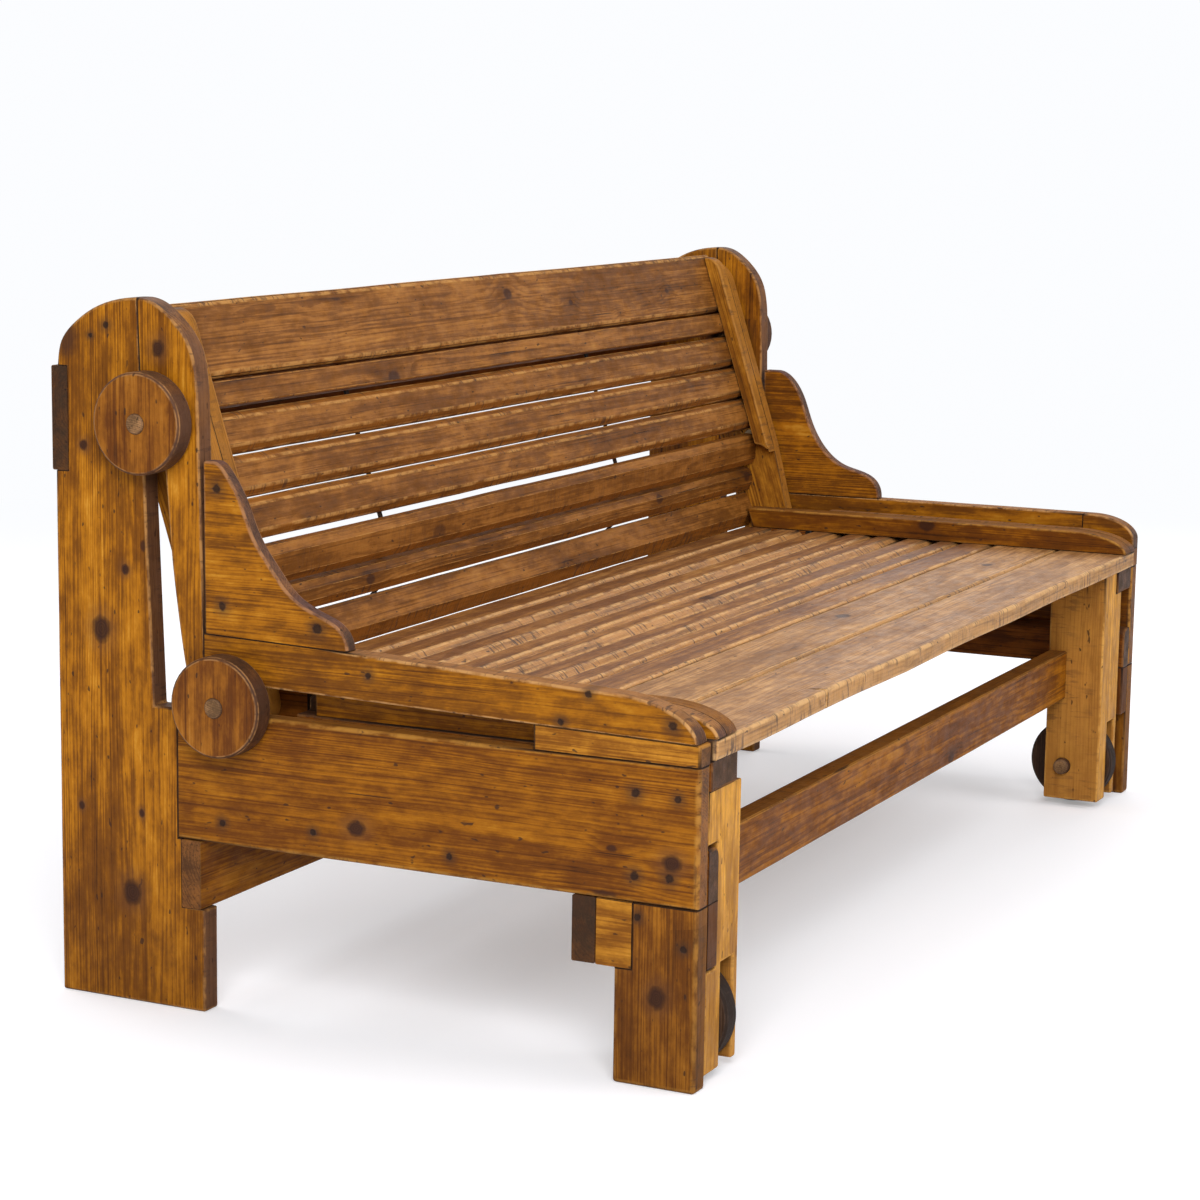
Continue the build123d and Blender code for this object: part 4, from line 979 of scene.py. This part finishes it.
@dataclass
class Backrest(Assembly):
    """The slatted back with its end members."""

    def build(self) -> None:
        """Dresses the members, battens and slats."""
        member, plank = Grain.BACK_MEMBER, Grain.BACK_SLAT
        for side, pith in (("left", -0.05), ("right", 0.05)):
            plan = Board(f"{side}_back_member", member, LEG_HONEY, (0.02, pith), 0.002, pitch=3.0)
            plan.seed = pith * 40
            self.dress(plan)
        self.dress(Board("back_battens", member, LEG_HONEY, (0.02, 0.03), seed=6.1, sawn=SIDEWAYS))
        self.dress(Board("back_cleats", member, AMBER_DARK, seed=7.1))
        self.dress(Board("back_top_board", plank, BACK_BROWN, (0.03, -0.07), sway=0.0008, seed=2.3, arris=24))
        for number in range(1, 8):
            pith = ((number * 37) % 11 / 11 - 0.5) * 0.06
            plan = Board(f"back_slat_{number}", plank, BACK_BROWN, (pith, -0.05), sway=0.0008, arris=24)
            plan.knot_free = 0.6
            plan.seed = 1.3 + number * 0.83
            plan.bevel = 0.0006 if number in (1, 5, 6, 7) else 0.0035
            self.dress(plan)


@dataclass
class Seat(Assembly):
    """The seat's boards and slats with their raised sides and bearers."""

    def build(self) -> None:
        """Dresses the boards of the seat."""
        edgeways, plank = Grain.SIDE_BOARD, Grain.SEAT_SLAT
        for side in ("left", "right"):
            self.dress(Board(f"{side}_seat_side", edgeways, RAIL, seed=len(side) * 1.1, sawn=SIDEWAYS))
        self.dress(Board("seat_rims", edgeways, AMBER, seed=2.4, sawn=SIDEWAYS))
        self.dress(Board("seat_bearers", edgeways, AMBER_DARK, seed=3.4))
        self.dress(Board("hinge_blocks", edgeways, AMBER_DARK, sway=0.0, seed=4.9))
        self.dress(Board("seat_front_board", plank, SEAT_BOARD, (0.02, -0.07), 0.006, seed=5.7, sawn=UPWARDS))
        second = Board("seat_second_board", plank, SEAT_BOARD, (-0.02, -0.06), seed=6.9, arris=24)
        second.sway = 0.0008
        self.dress(second)
        for number in range(1, 9):
            pith = ((number * 29) % 13 / 13 - 0.5) * 0.05
            plan = Board(f"seat_slat_{number}", plank, SEAT_BROWN, (pith, -0.05), sway=0.0009, arris=24)
            plan.seed = 2.1 + number * 0.91
            self.dress(plan)


@dataclass
class SeatLegs(Assembly):
    """The wheeled legs of the seat."""

    def build(self) -> None:
        """Dresses the legs, their stretcher and the axles."""
        for side in ("left", "right"):
            # The seat legs take the lighter finish that paints in the strong light on their fronts.
            self.dress(Board(f"{side}_seat_leg", Grain.LEG, SEAT_LEG_PAINTED_LIGHT, (0.01, 0.04), seed=len(side) * 0.77))
            axle = Dowel(f"{side}_wheel_axle", Grain.DOWEL, DOWEL_DARK, bevel=0.0009, pitch=3.0, arris=24)
            axle.seed = len(side)
            self.dress(axle)
        self.dress(Board("seat_leg_stretcher", Grain.RAIL_ON_EDGE, AMBER, bevel=0.0009, seed=7.9, arris=24))


@dataclass
class Ironwork:
    """The flat straps behind the back's slats.

    Args:
        node: Their node.
    """

    node: str = "back_straps"

    def build(self) -> None:
        """Gives the straps their forged, rust-flecked surface."""
        material = bpy.data.materials.new("strap_iron_forged")
        material.use_nodes = True
        material.node_tree.nodes.clear()
        w = Wiring(material.node_tree)
        point = w.add("ShaderNodeTexCoord").outputs["Object"]
        rust = w.noise(point, 120.0, 4.0, 0.6)
        colour = w.mix(w.spread(rust, 0.45, 0.7), (0.022, 0.02, 0.019), (0.10, 0.042, 0.02))
        bump = w.add("ShaderNodeBump", {"Strength": 0.5, "Distance": 0.0006, "Height": rust})
        sockets = {
            "Base Color": colour,
            "Roughness": w.spread(rust, 0.3, 0.7, 0.45, 0.85),
            "Normal": bump.outputs["Normal"],
        }
        shader = w.add("ShaderNodeBsdfPrincipled", sockets)
        shader.inputs["Metallic"].default_value = 0.75
        w.add("ShaderNodeOutputMaterial", {"Surface": shader.outputs["BSDF"]})
        node = bpy.data.objects[self.node]
        node.data.materials.clear()
        node.data.materials.append(material)
        log.info("%s: forged iron", self.node)


@dataclass(frozen=True)
class SoftBox:
    """One soft square lamp.

    Args:
        name: The lamp's name.
        place: Where it hangs.
        power: Its power in watts.
        size: The side of its square face.
        shines: Whether polished wood mirrors it.
    """

    name: str
    place: Point
    power: float
    size: float = 2.6
    shines: bool = True


@dataclass
class Studio:
    """The pale floor, the soft lamps and the camera.

    Args:
        eye: Where the camera stands.
        azimuth: How far it is turned round, in degrees.
        elevation: How far it looks down, in degrees.
        roll: How far it is tilted, in degrees.
        lens_pixels: Its focal length in pixels.
        middle: The pixel that it looks at.
        frame_pixels: The side of its square frame in pixels.
        fade: How far from the middle the floor begins to fade, and where it has faded.
        ambience: How bright the room is to the bench.
        floor_glow: How much the floor is lifted where the camera sees it.
        aim: What the lamps point at.
    """

    eye: Point = (-3.89985, -1.73165, 1.10100)
    azimuth: float = -63.025
    elevation: float = 9.449
    roll: float = 0.595
    lens_pixels: float = 2979.94
    middle: tuple[float, float] = (516.71, 611.55)
    frame_pixels: float = 1200.0
    fade: tuple[float, float] = (1.6, 4.5)
    ambience: float = 0.34
    floor_glow: float = 0.26
    aim: Point = (0.0, 0.0, 0.35)

    def build(self) -> None:
        """Sets up the floor, the light and the view."""
        self.floor()
        self.world()
        for box in (
            SoftBox("key", (-4.4, -2.0, 3.2), 212.0),
            SoftBox("front", (0.6, -4.6, 2.6), 95.0),
            SoftBox("overhead", (0.4, 1.2, 4.2), 40.0, size=3.0),
            SoftBox("right", (4.6, 0.2, 2.4), 80.0, shines=False),
            SoftBox("rear", (0.4, 4.8, 2.4), 80.0, shines=False),
        ):
            self.lamp(box)
        self.camera()
        bpy.context.scene.view_settings.view_transform = "Standard"

    def floor(self) -> None:
        """Lays a pale floor that fades into the background."""
        bpy.ops.mesh.primitive_plane_add(size=60.0)
        floor = bpy.context.active_object
        floor.name = "studio_floor"
        material = bpy.data.materials.new("studio_floor_paint")
        material.use_nodes = True
        material.node_tree.nodes.clear()
        w = Wiring(material.node_tree)
        point = w.add("ShaderNodeTexCoord").outputs["Object"]
        away = w.spread(w.vector("LENGTH", point), *self.fade)
        seen = w.add("ShaderNodeLightPath").outputs["Is Camera Ray"]
        paint = w.add("ShaderNodeBsdfDiffuse", {"Color": FLOOR_PAINT}).outputs[0]
        glow = w.add("ShaderNodeEmission", {"Color": (1.0, 1.0, 1.0), "Strength": self.floor_glow}).outputs[0]
        lit = w.add("ShaderNodeAddShader", {0: paint, 1: glow}).outputs[0]
        near = w.add("ShaderNodeMixShader", {0: seen, 1: paint, 2: lit}).outputs[0]
        white = w.add("ShaderNodeEmission", {"Color": BACKGROUND, "Strength": 1.0}).outputs[0]
        share = w.math("MULTIPLY", away, seen)
        surface = w.add("ShaderNodeMixShader", {0: share, 1: near, 2: white}).outputs[0]
        w.add("ShaderNodeOutputMaterial", {"Surface": surface})
        floor.data.materials.append(material)
        log.info("floor laid")

    def world(self) -> None:
        """Surrounds the bench with a soft white room."""
        world = bpy.data.worlds.new("white_room")
        bpy.context.scene.world = world
        world.use_nodes = True
        world.node_tree.nodes.clear()
        w = Wiring(world.node_tree)
        ray = w.add("ShaderNodeLightPath").outputs
        facing = w.vector("DOT_PRODUCT", w.add("ShaderNodeTexCoord").outputs["Generated"], (0.6, 0.8, 0.1))
        mirrored = w.math("MULTIPLY", ray["Is Glossy Ray"], w.spread(facing, -0.7, 0.6, 0.0, 1.0))
        seen = w.math("MAXIMUM", ray["Is Camera Ray"], mirrored)
        seen = w.math("MAXIMUM", seen, ray["Is Transmission Ray"])
        strength = w.spread(seen, 0.0, 1.0, self.ambience, 1.0)
        back = w.add("ShaderNodeBackground", {"Color": BACKGROUND, "Strength": strength})
        w.add("ShaderNodeOutputWorld", {"Surface": back.outputs[0]})

    def lamp(self, box: SoftBox) -> None:
        """Hangs a soft box that points at the bench."""
        data = bpy.data.lights.new(box.name, "AREA")
        data.size = box.size
        data.energy = box.power
        lamp = bpy.data.objects.new(box.name, data)
        bpy.context.scene.collection.objects.link(lamp)
        lamp.location = box.place
        lamp.visible_glossy = box.shines
        way = Vector(self.aim) - Vector(box.place)
        lamp.rotation_euler = way.to_track_quat("-Z", "Y").to_euler()

    def camera(self) -> None:
        """Places the camera."""
        data = bpy.data.cameras.new("view")
        data.sensor_width = 36.0
        data.lens = self.lens_pixels / self.frame_pixels * data.sensor_width
        half = self.frame_pixels / 2
        data.shift_x = (half - self.middle[0]) / self.frame_pixels
        data.shift_y = (self.middle[1] - half) / self.frame_pixels
        camera = bpy.data.objects.new("view", data)
        bpy.context.scene.collection.objects.link(camera)
        turn, dip, tilt = radians(self.azimuth), radians(self.elevation), radians(self.roll)
        forward = Vector((-sin(turn) * cos(dip), cos(turn) * cos(dip), -sin(dip)))
        level = Vector((cos(turn), sin(turn), 0.0))
        rise = level.cross(forward)
        right = level * cos(tilt) + rise * sin(tilt)
        upward = rise * cos(tilt) - level * sin(tilt)
        pose = Matrix((right, upward, -forward)).transposed().to_4x4()
        pose.translation = Vector(self.eye)
        camera.matrix_world = pose
        bpy.context.scene.camera = camera


def main() -> None:
    """Builds the bench, piece by piece, in its studio."""
    logging.basicConfig(level=logging.INFO, format="%(name)s: %(message)s")
    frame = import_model()
    log.info("%d nodes", len(frame["nodes"]))
    shop, joinery = TimberShop(), Joinery(frame)
    Studio().build()
    SideFrames(shop, joinery, "frame", "frame_pine").build()
    Backrest(shop, joinery, "backrest", "back_pine").build()
    Seat(shop, joinery, "seat", "seat_pine").build()
    SeatLegs(shop, joinery, "seat", "seat_pine").build()
    discs = Board("slot_discs", Grain.POST, DISC_BROWN, (0.02, -0.06), 0.0013, pitch=1.0, seed=3.1, arris=24)
    Assembly(shop, joinery, "backrest", "disc_wood").dress(discs)
    for pins in ("upper_pins", "lower_pins"):
        dowel = Dowel(pins, Grain.DOWEL, DOWEL_DARK, bevel=0.0006, pitch=3.0, arris=24)
        Assembly(shop, joinery, "backrest", "pin_wood").dress(dowel)
    for side in ("left", "right"):
        wheel = Board(f"{side}_wheel", Grain.POST, WHEEL_GREY, (0.01, 0.05), 0.0013, 0.0, pitch=1.0, arris=24)
        wheel.seed = len(side) * 2.1
        Assembly(shop, joinery, f"{side}_wheel", "wheel_beech").dress(wheel)
    Ironwork().build()


if __name__ == "__main__":
    main()
